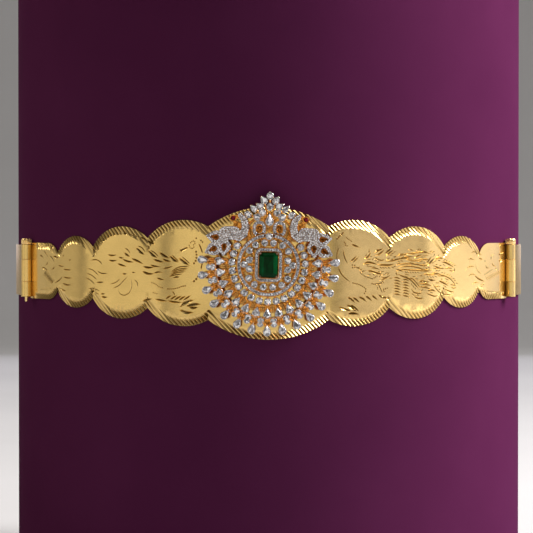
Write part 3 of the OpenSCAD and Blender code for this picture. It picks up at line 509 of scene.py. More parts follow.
def run_of(way):
    """How far each point of a way is from its start."""
    return np.concatenate([[0], np.cumsum(np.linalg.norm(np.diff(way, axis=0), axis=1))])


def on_way(way, run, at):
    return np.array([np.interp(at, run, way[:, 0]), np.interp(at, run, way[:, 1])])


def strokes_of(cut):
    """The lines that one cut is made of: points, and half the width at each."""
    kind, width, *places = cut
    if kind == "fringe":
        start, end, far_start, far_end = (np.array(p) for p in places)
        lines = []
        for t in np.linspace(0, 1, 13):
            base, tip = start + t * (end - start), far_start + t * (far_end - far_start)
            lines.append((np.array([base, (base + tip) / 2, tip]), width * np.array([0.1, 0.5, 0.05])))
        return lines
    way = smooth_way(places)
    t = np.linspace(0, 1, len(way))
    if kind == "leaf":
        return [(way, width / 2 * np.maximum(np.sin(math.pi * t ** 0.8), 0.03) ** 0.8)]
    if kind == "hook":
        return [(way, width / 2 * np.maximum(np.sin(math.pi * t ** 0.45), 0.03) * (1 - 0.5 * t))]
    if kind == "line":
        return [(way, width / 2 * np.clip(np.minimum(t, 1 - t) * 5, 0.08, 1))]
    run = run_of(way)
    count = max(1, int(round(run[-1] / (dot_step * width))))
    return [(np.array([on_way(way, run, d)]), np.array([width * 0.6]))
            for d in (np.arange(count) + 0.5) * run[-1] / count]


strokes = [stroke for cut in left_cuts + right_cuts for stroke in strokes_of(cut)]

# Barbs of the right bird's tail: short fine cuts that lean off its long feathers wherever the plate is still bare
tail_from, tail_to, tail_half_h, feather_least = 40, 88, 10, 4
barb_width, barb_step, barb_room = 0.44, 1.3, 0.55
taken = np.concatenate([way for way, _ in strokes])
barb_random = np.random.default_rng(12)
for kind, _, *places in right_cuts:
    way = smooth_way(places)
    run = run_of(way)
    if (kind not in ("line", "leaf") or run[-1] < feather_least or not tail_from < way[0, 0] < tail_to
            or abs(way[:, 1]).max() > tail_half_h):
        continue
    for at in np.arange(0.8, run[-1], barb_step):
        here, ahead = on_way(way, run, at), on_way(way, run, at + 0.3)
        forward = (ahead - here) / max(np.linalg.norm(ahead - here), 1e-6)
        for side in (-1, 1):
            away = side * np.array([-forward[1], forward[0]])
            start = here + away * barb_random.uniform(0.6, 0.8)
            tip = start + (0.85 * forward + 0.45 * away) * barb_random.uniform(1.3, 2.1)
            points = np.array([start, (start + tip) / 2, tip])
            gaps = np.linalg.norm(points[:, None] - taken, axis=2)
            if gaps.min() > barb_room and (rim_share(*points.T)[0] == 0).all():
                strokes += strokes_of(("leaf", barb_width, *points))
                taken = np.concatenate([taken, points])


def engraved_depth(s, z):
    """Depth of the engraver's cuts at places on the plate, each a V, and painted shade that is strongest near a cut's
    bottom.
    """
    depth, painted_cut_shade = np.zeros(len(s)), np.zeros(len(s))
    for way, half in strokes:
        (low_s, low_z), (high_s, high_z) = way.min(0) - half.max() - 0.05, way.max(0) + half.max() + 0.05
        near = np.flatnonzero((s > low_s) & (s < high_s) & (z > low_z) & (z < high_z))
        if not len(near):
            continue
        here = np.column_stack([s[near], z[near]])
        best = half[0] - np.linalg.norm(here - way[0], axis=1)
        for a, b, wa, wb in zip(way, way[1:], half, half[1:]):
            t = np.clip((here - a) @ (b - a) / max((b - a) @ (b - a), 1e-9), 0, 1)
            best = np.maximum(best, wa + t * (wb - wa) - np.linalg.norm(here - a - t[:, None] * (b - a), axis=1))
        depth[near] = np.maximum(depth[near], np.minimum(cut_slope * best, cut_most))
        # Painted shade in the cuts: a fine cut is less dark than a broad one
        painted_cut_shade[near] = np.maximum(painted_cut_shade[near], np.clip(1.3 * best / half.max(), 0, 1) * min(1, 0.7 + 0.5 * half.max()))
    return np.maximum(depth, 0), painted_cut_shade


def plate_relief(s, z):
    """Height of the plate's face over its smooth curve, and the painted shade of each place."""
    share, which = rim_share(s, z)
    step = 0.05
    slope = np.array([rim_share(s + step, z)[0] - rim_share(s - step, z)[0],
                      rim_share(s, z + step)[0] - rim_share(s, z - step)[0]])
    slope /= np.maximum(np.hypot(*slope), 1e-9)
    deep = rim_deep[abs(which)]
    phase = (s * across_cut[0] + z * across_cut[1]) / rim_pitch[abs(which)]
    wave = 1 - 2 * abs(phase - np.round(phase))
    # Cuts fade where they would run along the rim
    facing = np.clip(abs(slope[0] * along_cut[0] + slope[1] * along_cut[1]) * 1.5, 0.3, 1)
    rim_cuts = deep * facing * rim_cut_here(s, z, which) * np.maximum(0, wave - 1 + np.clip(share / rim_bare, 0, 1))
    engraved, painted_cut_shade = engraved_depth(s, z)
    # Painted shade in the rim's cuts
    painted_rim_shade = rim_painted_shade[abs(which)] * np.clip(1.5 * rim_cuts / deep, 0, 1)
    # Painted shade darkens the plate in the crease beside each hinge's tubes, and more so at the right
    painted_crease_shade = np.where(s > 0, 0.5, 0.2) * np.clip((abs(s) - hinge_arc + 4.2) / 1.2, 0, 1)
    return -bevel_drop * share - np.maximum(rim_cuts, engraved), np.max([painted_cut_shade, painted_rim_shade, painted_crease_shade], axis=0)


# How the rim's cuts are looked for: how high each rim is on the whole, how far beside that and along each cut, in what
# steps, and how many steps a cut has at least
rim_z, look_beside, look_along, look_step, look_least = 15, 46, 60, 0.12, 5


def rim_lines():
    """Bottoms and ridges of the rim's cuts, and the slanting edges that join them where each cut runs out."""
    lines = []
    for which in range(-4, 5):
        pitch, width = rim_pitch[abs(which)], rim_width[abs(which)]
        at = 0 if which == 0 else math.copysign(([0] + [d[0] for d in discs] + [end_cuts_at])[abs(which)], which)
        for side in (-1, 1):
            tips, ridges = {}, {}
            around = np.array([at, side * rim_z])
            middle = (at * across_cut[0] + side * rim_z * across_cut[1]) / pitch
            first_half, last_half = (int(2 * (middle + off / pitch)) for off in (-look_beside, look_beside))
            for half_step in range(first_half, last_half + 1):
                origin = across_cut * pitch * half_step / 2
                reach = np.arange(-look_along, look_along, look_step) + along_cut @ around - along_cut @ origin
                s, z = (origin[:, None] + along_cut[:, None] * reach)
                depth, holder = inside(s, z)
                share, _ = rim_share(s, z)
                good = ((holder == which) & (depth > -0.25) & (share > 0) & (z * side > 0)
                        & (abs(s) < hinge_arc + 1) & (rim_cut_here(s, z, holder) > 0.02))
                edges = np.flatnonzero(np.diff(np.concatenate([[0], good.astype(int), [0]])))
                for first, last in zip(edges[::2], edges[1::2] - 1):
                    if last - first + 1 < look_least:
                        continue
                    run = np.arange(first, last + 1)[::side]
                    found = ridges if half_step % 2 else tips
                    if half_step % 2:
                        run = run[share[run] > rim_bare]
                        if len(run) < 3:
                            continue
                    stops = [run[0], run[-1]] if half_step % 2 else [run[0], run[len(run) // 2], run[-1]]
                    lines.append([(s[i], z[i]) for i in stops])
                    found[half_step] = lines[-1][-1]
            for half_step, tip in tips.items():
                for beside in (half_step - 1, half_step + 1):
                    if beside in ridges and math.dist(ridges[beside], tip) < width:
                        lines.append([ridges[beside], tip])
    return lines


def half_height(s, shrink=0.0):
    """Half the plate's height at a distance round the belt, or that of its plain middle if shrunk by the rim."""
    z = np.arange(0, 30, 0.01)
    depth, which = inside(np.full(len(z), s), z)
    if shrink:
        depth = np.maximum(depth, waist_half - z) - shrink * rim_width[abs(which)]
    return z[depth >= 0].max()


# The outline's steps, which are finer at the notches between the shapes
edge_step, crease_to, crease_step = 0.9, 127, 1.1
notches = [side * at for side in (-1, 1) for at in (26.5, 54.6, 80.9, 105.4)]
steps = np.unique(np.round(np.concatenate(
    [np.arange(-hinge_arc, hinge_arc, edge_step), [hinge_arc]]
    + [(side * knob_room, side * (knob_room + 0.05)) for side in (-1, 1)]
    + [np.arange(at - 0.8, at + 0.8, 0.1) for at in notches]), 3))
low = [(s, -half_height(s)) for s in steps]
top = [(s, min(-z, knob_room_z) if abs(s) > knob_room else -z) for s, z in low]
end_notch = [(hinge_arc, middle_gap), (knuckle_reach, middle_gap), (knuckle_reach, -middle_gap),
             (hinge_arc, -middle_gap)]
outline = low + end_notch[::-1] + top[::-1] + [(-s, z) for s, z in end_notch]
flat, joins = [Vector(p) for p in outline], []


def draw(way, close=False):
    """Adds a line that the plate's triangles have to follow."""
    first = len(flat)
    flat.extend(Vector((float(p[0]), float(p[1]))) for p in way)
    joins.extend((first + i, first + i + 1) for i in range(len(way) - 1))
    if close:
        joins.append((first + len(way) - 1, first))


crease = [(s, half_height(s, 1.0)) for s in np.arange(-crease_to, crease_to + 0.1, crease_step)]
for side in (-1, 1):
    draw([(s, side * z) for s, z in crease])
draw([(post_hole * math.cos(a), post_z + post_hole * math.sin(a)) for a in even_angles(24)], close=True)
for line in rim_lines():
    draw(line)
for way, half in strokes:
    if len(way) == 1:
        draw([way[0] + half[0] * np.array([math.cos(a), math.sin(a)]) for a in even_angles(6)], close=True)
        draw(way)
    else:
        turn = np.gradient(way, axis=0)
        normal = np.column_stack([-turn[:, 1], turn[:, 0]]) / np.maximum(np.linalg.norm(turn, axis=1), 1e-9)[:, None]
        draw(way)
        draw(np.concatenate([way + normal * half[:, None], (way - normal * half[:, None])[::-1]]), close=True)
# Loose points in the plate's plain parts
plain_to, plain_up, plain_step, plain_rise = 130, 26, 2.0, 2.6
grid_s, grid_z = (g.ravel() for g in np.meshgrid(np.arange(-plain_to, plain_to, plain_step),
                                                 np.arange(-plain_up, plain_up + 0.1, plain_rise)))
plain = ((inside(grid_s, grid_z)[0] > 1) & (rim_share(grid_s, grid_z)[0] == 0)
         & (engraved_depth(grid_s, grid_z)[0] == 0))
flat.extend(Vector((s, z)) for s, z in zip(grid_s[plain], grid_z[plain]))

corners, _, triangles, *_ = delaunay_2d_cdt(flat, joins, [list(range(len(outline)))], 1, 1e-4)
corners, triangles = np.array([tuple(c) for c in corners]), np.array(triangles)
mid_s, mid_z = corners[triangles].mean(1).T
triangles = triangles[(inside(mid_s, mid_z)[0] > -0.05) & (np.hypot(mid_s, mid_z - post_z) > post_hole - 0.02)]
a, b, c = (corners[triangles[:, k]] for k in range(3))
turned_over = np.cross(b - a, c - a) < 0
triangles[turned_over] = triangles[turned_over][:, ::-1]


def rolled(height):
    """The plate's corners on its curve, or over or under it."""
    angle, radius = corners[:, 0] / plate_r, plate_r + height
    return np.column_stack([radius * np.sin(angle), -radius * np.cos(angle), belt_z + corners[:, 1]])


relief, painted_shade = plate_relief(*corners.T)
count = len(corners)
directed = dict.fromkeys((t[i], t[(i + 1) % 3]) for t in triangles for i in range(3))
faces = [tuple(t) for t in triangles]
faces += [(j, i, i + count, j + count) for i, j in directed if (j, i) not in directed]
faces += [(t[2] + count, t[1] + count, t[0] + count) for t in triangles]
points = np.concatenate([rolled(relief), rolled(plate_in - plate_r)])
painted_shade = np.concatenate([painted_shade, np.zeros(count)])

knuckle_r, tube_h, bore_r, hinge_r, knuckle_gap, knuckle_soft = 2.35, 23.1, 0.83, 117.75, 0.06, 0.12
hinge_angle = hinge_arc / plate_r
for side in (-1, 1):
    for low, high in ((-tube_h / 2, -middle_gap + knuckle_gap), (middle_gap - knuckle_gap, tube_h / 2)):
        tube, tube_faces = turned([(bore_r, low), (knuckle_r - knuckle_soft, low), (knuckle_r, low + knuckle_soft),
                                   (knuckle_r, high - knuckle_soft), (knuckle_r - knuckle_soft, high), (bore_r, high)],
                                  even_angles(32), closed=True)
        tube, at = np.array(tube), side * hinge_angle
        faces += [tuple(i + len(points) for i in face) for face in tube_faces]
        points = np.concatenate([points, tube + (hinge_r * math.sin(at), -hinge_r * math.cos(at), belt_z)])
        # The side of each tube that faces the plate is darkened with painted shade, more so at the right
        painted_shade = np.concatenate([painted_shade, (0.5 + 0.25 * side) * np.clip(-1.3 * side * tube[:, 0] / knuckle_r, 0, 1)])


def give(mesh, name, values, kind="FLOAT", domain="POINT"):
    """Stores a value or a vector for each point or face of a mesh."""
    mesh.attributes.new(name, kind, domain).data.foreach_set("value" if kind == "FLOAT" else "vector", values)


def value_of(tree, name):
    """What a mesh stores under a name."""
    return add(tree, "ShaderNodeAttribute", attribute_name=name).outputs["Fac"]


# The deep colour is painted shade in the cuts, the creases and the tubes' sides that face the plate
engraved_gold, tree, group = gold_of("engraved_gold", sheet_gold, (0.13, 0.07, 0.012), 0.12)
feed(tree, group, Depth=value_of(tree, "painted_shade"))
front = made("engraved_front", points, faces, engraved_gold, "belt_on_drum", sharp=14)
give(front.data, "painted_shade", painted_shade)
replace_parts(front, "front_band")


# --- Hinge pins -------------------------------------------------------------------------------------------------------
# A gold wire pin through the knuckles of each hinge, with a round fluted knob to pull it out by.
# The left pin's tip comes out below its tube.

pin_r, knob_r, knob_h, knob_from = 0.75, 2.3, 2.6, 11.63
flutes, flute_r = 16, 0.2
pin_gold, _, _ = gold_of("pin_gold", (1.0, 0.70, 0.30), sheet_deep, 0.17)
for side, name, tip in ((-1, "left", 2.3), (1, "right", -1.0)):
    low, top = -tube_h / 2 - tip, knob_from + knob_h
    points, faces = turned([(0, low), (pin_r * 0.6, low + 0.06), (pin_r * 0.92, low + 0.3), (pin_r, low + 0.6),
                            (pin_r, knob_from), (knob_r - 0.3, knob_from), (knob_r - 0.08, knob_from + 0.1),
                            (knob_r, knob_from + 0.3), (knob_r, top - 0.75), (knob_r - 0.1, top - 0.45),
                            (knob_r - 0.4, top - 0.17), (1.1, top - 0.05), (0, top)], even_angles(flutes * 8))
    shaped, at = [], side * hinge_angle
    for x, y, z in points:
        r, turn = math.hypot(x, y), math.atan2(y, x) * flutes / (2 * math.pi)
        off = abs(turn - round(turn)) * 2 * math.pi / flutes * knob_r / flute_r
        cut = flute_r * math.sqrt(max(0, 1 - off * off)) * min(1, max(0, (r - 1.5) / 0.6)) if r else 0
        scale = (r - cut) / r if r else 1
        shaped.append((x * scale + hinge_r * math.sin(at), y * scale - hinge_r * math.cos(at), z + belt_z))
    pin = made(f"{name}_pin_and_knob", shaped, faces, pin_gold, f"{name}_pin", sharp=35)
    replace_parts(pin, f"pin_{name}")


# --- Pendant frame ----------------------------------------------------------------------------------------------------
# Gold openwork that holds every stone: a round setting with rays, two peacocks back to back and a crest between them.
# It is soldered together, stands off the plate on one post, and its gold is warmer and rougher than the sheet.

pendant_back, pendant_up, lean = 117.3, 143.5, math.radians(1.4)
base_top, seat_top, peacock_top = 0.7, 1.5, 2.4
circle_r = 12.3


def hung(places):
    """Places on the belt from places on the pendant: right, up and outward from the middle of its back."""
    x, y, z = np.asarray(places, float).T
    return np.column_stack([x * math.cos(lean) + y * math.sin(lean), -pendant_back - z,
                            pendant_up - x * math.sin(lean) + y * math.cos(lean)])


cast_gold, tree, group = gold_of("cast_pendant_gold", (0.86, 0.36, 0.065), (0.17, 0.042, 0.003), 0.18, relief=0.3)
shader, where = tree.nodes["Principled BSDF"], object_place(tree)
out = add(tree, "ShaderNodeSeparateXYZ", inputs={0: where}).outputs[1]
# Painted shade darkens the frame's lower layers, toward the plate
painted_sunk_shade, plated_and_shaded = (ranged(tree, out, 0, most, -0.001 * (pendant_back + start), -0.001 * (pendant_back + stop))
                for start, stop, most in ((seat_top - 0.1, base_top, 0.9), (2.1, 2.3, 1)))
# Darker patches of painted shade, spread at random over the frame
painted_dark_patches = ranged(tree, noise(tree, where, 950, 2, 0.5), 0, 0.75, 0.5, 0.6)
feed(tree, group, Depth=calc(tree, "MAXIMUM", painted_sunk_shade, painted_dark_patches))
# The peacocks' tops, the bed between their small stones, are white plating darkened with painted shade
feed(tree, shader, Base_Color=mixed(tree, plated_and_shaded, group.outputs["Colour"], (0.26, 0.18, 0.13, 1)),
     Normal=bumped(tree, noise(tree, where, 800, 3, 0.6), 0.8, 0.0006,
                   Normal=shader.inputs["Normal"].links[0].from_socket))
dress("pendant_frame", cast_gold)


# --- White stones -----------------------------------------------------------------------------------------------------
# Clear stones cut with a table, stars, kites and girdle facets, glued and gripped in closed seats.
# They have foil behind them, and each facet has a tone of its own: painted reflections, bright or dark.

crown_share, table_share, waist_share, stone_up, stone_deep = 0.17, 0.56, 0.80, 1.48, 0.68


def stone_outline(kind, size):
    """Sixteen points round a stone, counter-clockwise, with a drop's point up."""
    half, r = size[0] / 2, size[1] / 2

    def arc(up, start, end, count):
        return [(-r * math.sin(a), up + r * math.cos(a)) for a in np.radians(np.linspace(start, end, count))]

    if kind == "pear":
        slope = math.degrees(math.acos(r / (size[0] - r)))
        bend = arc(r - half, slope, 360 - slope, 13)
        west, east = ((x / 2, (y + half) / 2) for x, y in (bend[0], bend[-1]))
        return [(0, half), west] + bend + [east]
    if kind == "oval":
        return arc(half - r, 0, 90, 4) + arc(r - half, 90, 270, 8) + arc(half - r, 270, 337.5, 4)
    if kind == "marquise":
        point = math.degrees(math.acos(min(1, r / half)))
        return [(0, half)] + arc(0, point, 180 - point, 7) + [(0, -half)] + arc(0, 180 + point, 360 - point, 7)
    return arc(0, 0, 337.5, 16)


def at_height(places, z):
    return np.column_stack([places, np.full(len(places), z)])


def cut_stone(kind, size, up=0.0):
    """Points and facets of one stone, its girdle at the given height."""
    ring = np.array(stone_outline(kind, size))
    high = crown_share * size[1]
    reach = (1 - waist_share * math.cos(math.pi / 8)) / (1 - table_share)
    deep = min(stone_deep, 0.45 * size[1])
    rows = [(ring[::2] * table_share, high), (ring[1::2] * waist_share, high * reach), (ring, 0.015), (ring, -0.03),
            (ring[1::2] * 0.3, -0.66 * deep), (np.zeros((1, 2)), -deep)]
    points = np.concatenate([at_height(*row) for row in rows]) + (0, 0, up)
    table, waist, girdle, lower, low, culet = 0, 8, 16, 32, 48, 56
    facets = [tuple(range(table, table + 8))]
    for i in range(8):
        after, before = (i + 1) % 8, (i - 1) % 8
        g, g1, g2 = girdle + 2 * i, girdle + 2 * i + 1, girdle + (2 * i + 2) % 16
        facets += [(table + i, waist + i, table + after), (table + i, waist + before, g, waist + i),
                   (waist + i, g, g1), (waist + i, g1, g2),
                   (g, g + 16, g1 + 16, g1), (g1, g1 + 16, g2 + 16, g2),
                   (lower + 2 * i, low + before, culet, low + i),
                   (lower + 2 * i, low + i, lower + 2 * i + 1), (lower + 2 * i + 1, low + i, lower + (2 * i + 2) % 16)]
    return points, facets


def set_at(place, turn, spots):
    """Spots of a stone where it sits on the pendant, after its turn in degrees."""
    c, s = math.cos(math.radians(turn)), math.sin(math.radians(turn))
    x, y = np.asarray(spots).T
    return np.column_stack([place[0] + x * c - y * s, place[1] + x * s + y * c])


def paint_light_on_facets(mesh, tones):
    """Keeps a cut stone's facets flat and gives each a tone of painted light."""
    mesh.polygons.foreach_set("use_smooth", [False] * len(tones))
    give(mesh, "facet", tones, domain="FACE")


def cut_stones(name, stones, finish, seed):
    """Many stones in one piece. Each is kind, size, place and turn, and each facet gets a tone of painted light."""
    points, faces = [], []
    for kind, size, place, turn in stones:
        shape, facets = cut_stone(kind, size, stone_up)
        faces += [tuple(i + len(shape) * len(points) for i in facet) for facet in facets]
        points.append(hung(np.column_stack([set_at(place, turn, shape[:, :2]), shape[:, 2]])))
    piece = made(name, np.concatenate(points), faces, finish, "belt_on_drum", sharp=1)
    paint_light_on_facets(piece.data, np.random.default_rng(seed).random(len(faces)))
    return piece


white_stone, tree, shader = finish_of("white_stone", IOR=2.0, Coat_Weight=0.4, Coat_Roughness=0.02, Roughness=0.06)
# The facets' tones and the sparkle give dark to white colours as painted reflections and glints
facet, where = value_of(tree, "facet"), object_place(tree)
flaw = noise(tree, where, 1900, 3, 0.6)
painted_sparkle = ranged(tree, noise(tree, where, 850, 2, 0.5), -0.45, 0.45, 0.3, 0.7)
tone = calc(tree, "ADD", calc(tree, "MULTIPLY_ADD", flaw, 0.35, facet), painted_sparkle)
feed(tree, shader,
     Base_Color=ramp(tree, tone, (0.15, (0.045, 0.043, 0.048)), (0.45, (0.18, 0.176, 0.19)),
                     (0.75, (0.40, 0.39, 0.415)), (1.0, (0.92, 0.915, 0.93))),
     Metallic=ranged(tree, facet, 0.28, 0), Roughness=ranged(tree, flaw, 0.03, 0.14),
     Normal=bumped(tree, flaw, 0.1, 0.00002))

ray = 360 / 27
small_d, small_gap, loop_stone_d, circle_count = 0.92, 0.15, 0.82, 70
halo, halo_corner, halo_count = (9.9, 12.6), 1.9, 40
loop_at, loop_r, loop_stretch, loop_count = np.array([0.343, 1.22]) * circle_r, 2.1, 0.5, 16
eye_at, eye_d = np.array([1.23, 1.55]) * circle_r, 1.9
inner_size, crest_size = (2.5, 2.1), 3.1
# The crest's stones: side and height as shares of circle_r, turn outward, kind, then length and width as shares of
# crest_size
crest_stones = [
    (0, 2.33, 0, "marquise", 1, 0.74), (0.215, 2.19, 35, "pear", 1.04, 0.72), (0.345, 1.99, 60, "pear", 0.98, 0.64),
    (0, 1.96, 0, "marquise", 0.98, 0.72), (0.55, 1.9, 45, "pear", 0.98, 0.66), (0.265, 1.77, 50, "pear", 0.9, 0.78),
    (0.43, 1.61, 60, "pear", 0.86, 0.76), (0.74, 1.69, 60, "pear", 0.82, 0.76), (0, 1.54, 0, "pear", 1.5, 0.92),
    (0, 0.97, 0, "round", 0.74, 0.74)]
# The drops inside the circle: side and height as shares of circle_r, turn outward
inner_stones = [(0.145, 0.735, 190), (0.455, 0.665, 215), (0.655, 0.470, 235), (0.640, 0.165, 300), (0.815, 0.005, 270),
                (0.640, -0.155, 240), (0.650, -0.450, 305), (0.455, -0.660, 325), (0.155, -0.735, 345)]
top_stone_at = np.array([0, crest_stones[-1][1]]) * circle_r


def along(angle, r):
    """A place on the pendant: degrees round from its foot, and how far out."""
    return np.array([r * math.sin(math.radians(angle)), -r * math.cos(math.radians(angle))])


def row(kind, size, r, places):
    return [(kind, size, along(k * ray, r), k * ray) for k in places]


def small(places, d=small_d):
    return [("round", (d, d), p, math.degrees(math.atan2(p[1], p[0]))) for p in places]


def frame_places(w, h, r, count):
    """Even places round a rounded frame, the same in each of its quarters."""
    flat, bend, places = w / 2 - r, w / 2 - r + r * math.pi / 2, []
    length = flat + h / 2 - r + r * math.pi / 2
    for x in (-1, 1):
        for y in (-1, 1):
            for k in range(count // 4):
                s = (k + 0.5) * length / (count // 4)
                if s < flat:
                    p = (s, h / 2)
                elif s < bend:
                    p = (flat + r * math.sin((s - flat) / r), h / 2 - r + r * math.cos((s - flat) / r))
                else:
                    p = (w / 2, h / 2 - r - (s - bend))
                places.append(np.array([x * p[0], y * p[1]]))
    return places


row_a = row("round", (2.3, 2.3), 15.3, range(-9, 10))
row_b = row("pear", (4, 2.7), 20.2, range(-7, 8))
row_c = row("oval", (3.6, 2.1), 23.9, np.arange(-6.5, 7))
row_d = row("pear", (4.4, 2.65), 27.1, range(-7, 8))
crest = [(kind, (crest_size * length, crest_size * width), circle_r * np.array([side * x, y]), -side * turn)
         for x, y, turn, kind, length, width in crest_stones for side in ((-1, 1) if x else (1,))]
inner = [("pear", inner_size, circle_r * np.array([side * x, y]), -side * turn)
         for x, y, turn in inner_stones for side in (-1, 1)]
top_reach = crest_size * crest_stones[-1][4] / 2 + small_d / 2 + small_gap
circle = small([p for p in (along((k + 0.5) * 360 / circle_count, circle_r) for k in range(circle_count))
                if np.linalg.norm(p - top_stone_at) > top_reach])
loops = small([p + loop_at * (side, 1) for side in (-1, 1)
               for p in frame_places(2 * loop_r, 2 * (loop_r + loop_stretch), loop_r, loop_count)
               if np.linalg.norm(p + loop_at * (side, 1)) > circle_r + small_d + small_gap], loop_stone_d)
fields = {"circle": circle, "halo": small(frame_places(*halo, halo_corner, halo_count)), "loops": loops, "inner": inner,
          "row_a": row_a, "row_b": row_b, "row_c": row_c}
for seed, (name, stones) in enumerate(fields.items()):
    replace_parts(cut_stones(f"white_stones_{name}", stones, white_stone, seed), f"stones_{name}")
for prefix, stones in (("drop", row_d), ("crest", crest)):
    for k, stone in enumerate(stones, 1):
        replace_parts(cut_stones(f"white_{prefix}_{k}", [stone], white_stone, 100 * k + len(prefix)), f"{prefix}_{k}")


# --- Red stones -------------------------------------------------------------------------------------------------------
# A round deep red stone in each peacock's head, as its eye, cut like the white ones.
# It is backed with foil and glued into a closed seat of the cast gold.


def deep_stone(name, stretch, detail, rough, spread, sheen, stops, **values):
    """A deeply coloured stone, cloudy inside, with a tone of painted light for each facet."""
    material, tree, shader = finish_of(name, IOR=1.5, Coat_Roughness=0.02, **values)
    cloud = noise(tree, stretched(tree, object_place(tree), stretch), 1, detail, rough)
    tone = calc(tree, "MULTIPLY_ADD", cloud, spread, value_of(tree, "facet"))
    feed(tree, shader, Base_Color=ramp(tree, tone, *stops), Roughness=ranged(tree, cloud, *sheen))
    return material


red_stone = deep_stone("red_stone", (1100, 1100, 1100), 3, 0.6, 0.3, (0.03, 0.1),
                       ((0.2, (0.012, 0.0004, 0.0015)), (0.7, (0.06, 0.002, 0.006)), (1.0, (0.2, 0.008, 0.02))),
                       Specular_IOR_Level=0.1, Coat_Weight=0.05)
for k, (side, name) in enumerate(((-1, "left"), (1, "right"))):
    ruby = cut_stones(f"red_eye_{name}", [("round", (eye_d, eye_d), eye_at * (side, 1), 0)], red_stone, 40 + k)
    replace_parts(ruby, f"ruby_{name}")


# --- Green stone ------------------------------------------------------------------------------------------------------
# A deep green step-cut stone with cut corners in the middle of the pendant.
# It sits in a rounded frame of small white stones.

emerald, emerald_cut, emerald_up = (7.5, 10.2), 1.2, 2.46
# Its steps from the table down: how far in, how high
emerald_steps = [(1.75, 0.85), (1.30, 0.78), (0.85, 0.62), (0.40, 0.38), (0.02, 0.10), (0.02, -0.08), (0.45, -0.52),
                 (0.95, -0.98), (1.45, -1.38), (1.75, -1.68)]
points = []
for inset, up in emerald_steps:
    x, y, c = emerald[0] / 2 - inset, emerald[1] / 2 - inset, emerald_cut - inset * (2 - math.sqrt(2))
    points += [(px, py, emerald_up + up) for px, py in
               ((x, y - c), (x - c, y), (c - x, y), (-x, y - c), (-x, c - y), (c - x, -y), (x - c, -y), (x, c - y))]
steps = range(len(emerald_steps) - 1)
faces = [tuple(range(8)), tuple(range(len(points) - 1, len(points) - 9, -1))]
faces += [(8 * k + i, 8 * k + 8 + i, 8 * k + 8 + (i + 1) % 8, 8 * k + (i + 1) % 8) for k in steps for i in range(8)]
green_stone = deep_stone("green_stone", (500, 500, 210), 5, 0.65, 0.5, (0.02, 0.09),
                         ((0.3, (0.0003, 0.012, 0.002)), (0.6, (0.0004, 0.058, 0.012)), (0.95, (0.001, 0.15, 0.075))),
                         Specular_IOR_Level=0.06, Coat_Weight=0.03)
green = made("step_cut_green_stone", hung(points), faces, green_stone, "belt_on_drum", sharp=1)
# Painted light: tones of the table and the flat bottom, then of the eight facets of each step, darker below as shade
painted_step_tones = (0.22, 0.15, 0.12, 0.34, 0.25, 0.12, 0.2, 0.34)
paint_light_on_facets(green.data, [0.12, 0.1] + [tone * (1 if k < 5 else 0.5) for k in steps for tone in painted_step_tones])
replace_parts(green, "emerald")


# --- Pendant ornament -------------------------------------------------------------------------------------------------
# Small white stones set close over the peacocks, beaded edges, prongs, and scrolls of fine gold wire in the openings.
# Each is soldered or set by hand on the frame, so the beads and wires are not quite even.


def tree_of(name, sockets):
    """An empty geometry tree with named inputs, and its input sockets."""
    tree = bpy.data.node_groups.new(name, "GeometryNodeTree")
    for label, kind in {"Geometry": "Geometry", **sockets}.items():
        tree.interface.new_socket(label, in_out="INPUT", socket_type="NodeSocket" + kind)
    tree.interface.new_socket("Geometry", in_out="OUTPUT", socket_type="NodeSocketGeometry")
    return tree, add(tree, "NodeGroupInput").outputs


def end_tree(tree, geometry, finish):
    real = add(tree, "GeometryNodeRealizeInstances", inputs={"Geometry": geometry}).outputs[0]
    painted = add(tree, "GeometryNodeSetMaterial", inputs={"Geometry": real, "Material": finish}).outputs[0]
    add(tree, "NodeGroupOutput", inputs={0: painted})


def chance(tree, low, high, seed):
    return add(tree, "FunctionNodeRandomValue", data_type="FLOAT", inputs={2: low, 3: high, 8: seed}).outputs[1]


def stored(tree, name, kind):
    return add(tree, "GeometryNodeInputNamedAttribute", data_type=kind, inputs={"Name": name}).outputs[0]


# Copies of a small shape on points, each with a turn and a size of its own
sown, start = tree_of("sown", {"Shape": "Object", "Finish": "Material", "Unevenness": "Float", "Seed": "Int"})
uneven = chance(sown, calc(sown, "SUBTRACT", 1.0, start["Unevenness"]), 1.0, start["Seed"])
copies = add(sown, "GeometryNodeInstanceOnPoints", inputs={
    "Points": start["Geometry"], "Rotation": stored(sown, "turn", "FLOAT_VECTOR"),
    "Instance": add(sown, "GeometryNodeObjectInfo", inputs={"Object": start["Shape"]}).outputs["Geometry"],
    "Scale": calc(sown, "MULTIPLY", stored(sown, "size", "FLOAT"), uneven)}).outputs[0]
end_tree(sown, copies, start["Finish"])

# Round wire along drawn lines
wired, start = tree_of("wired", {"Radius": "Float", "Sides": "Int", "Finish": "Material", "Seed": "Int"})
line = add(wired, "GeometryNodeMeshToCurve", inputs={0: start["Geometry"]}).outputs[0]
line = add(wired, "GeometryNodeSetCurveRadius",
           inputs={"Curve": line, "Radius": chance(wired, 0.94, 1.06, start["Seed"])}).outputs[0]
section = add(wired, "GeometryNodeCurvePrimitiveCircle",
              inputs={"Resolution": start["Sides"], "Radius": start["Radius"]}).outputs[0]
swept = add(wired, "GeometryNodeCurveToMesh", inputs={"Curve": line, "Profile Curve": section, "Fill Caps": True})
end_tree(wired, swept.outputs[0], start["Finish"])


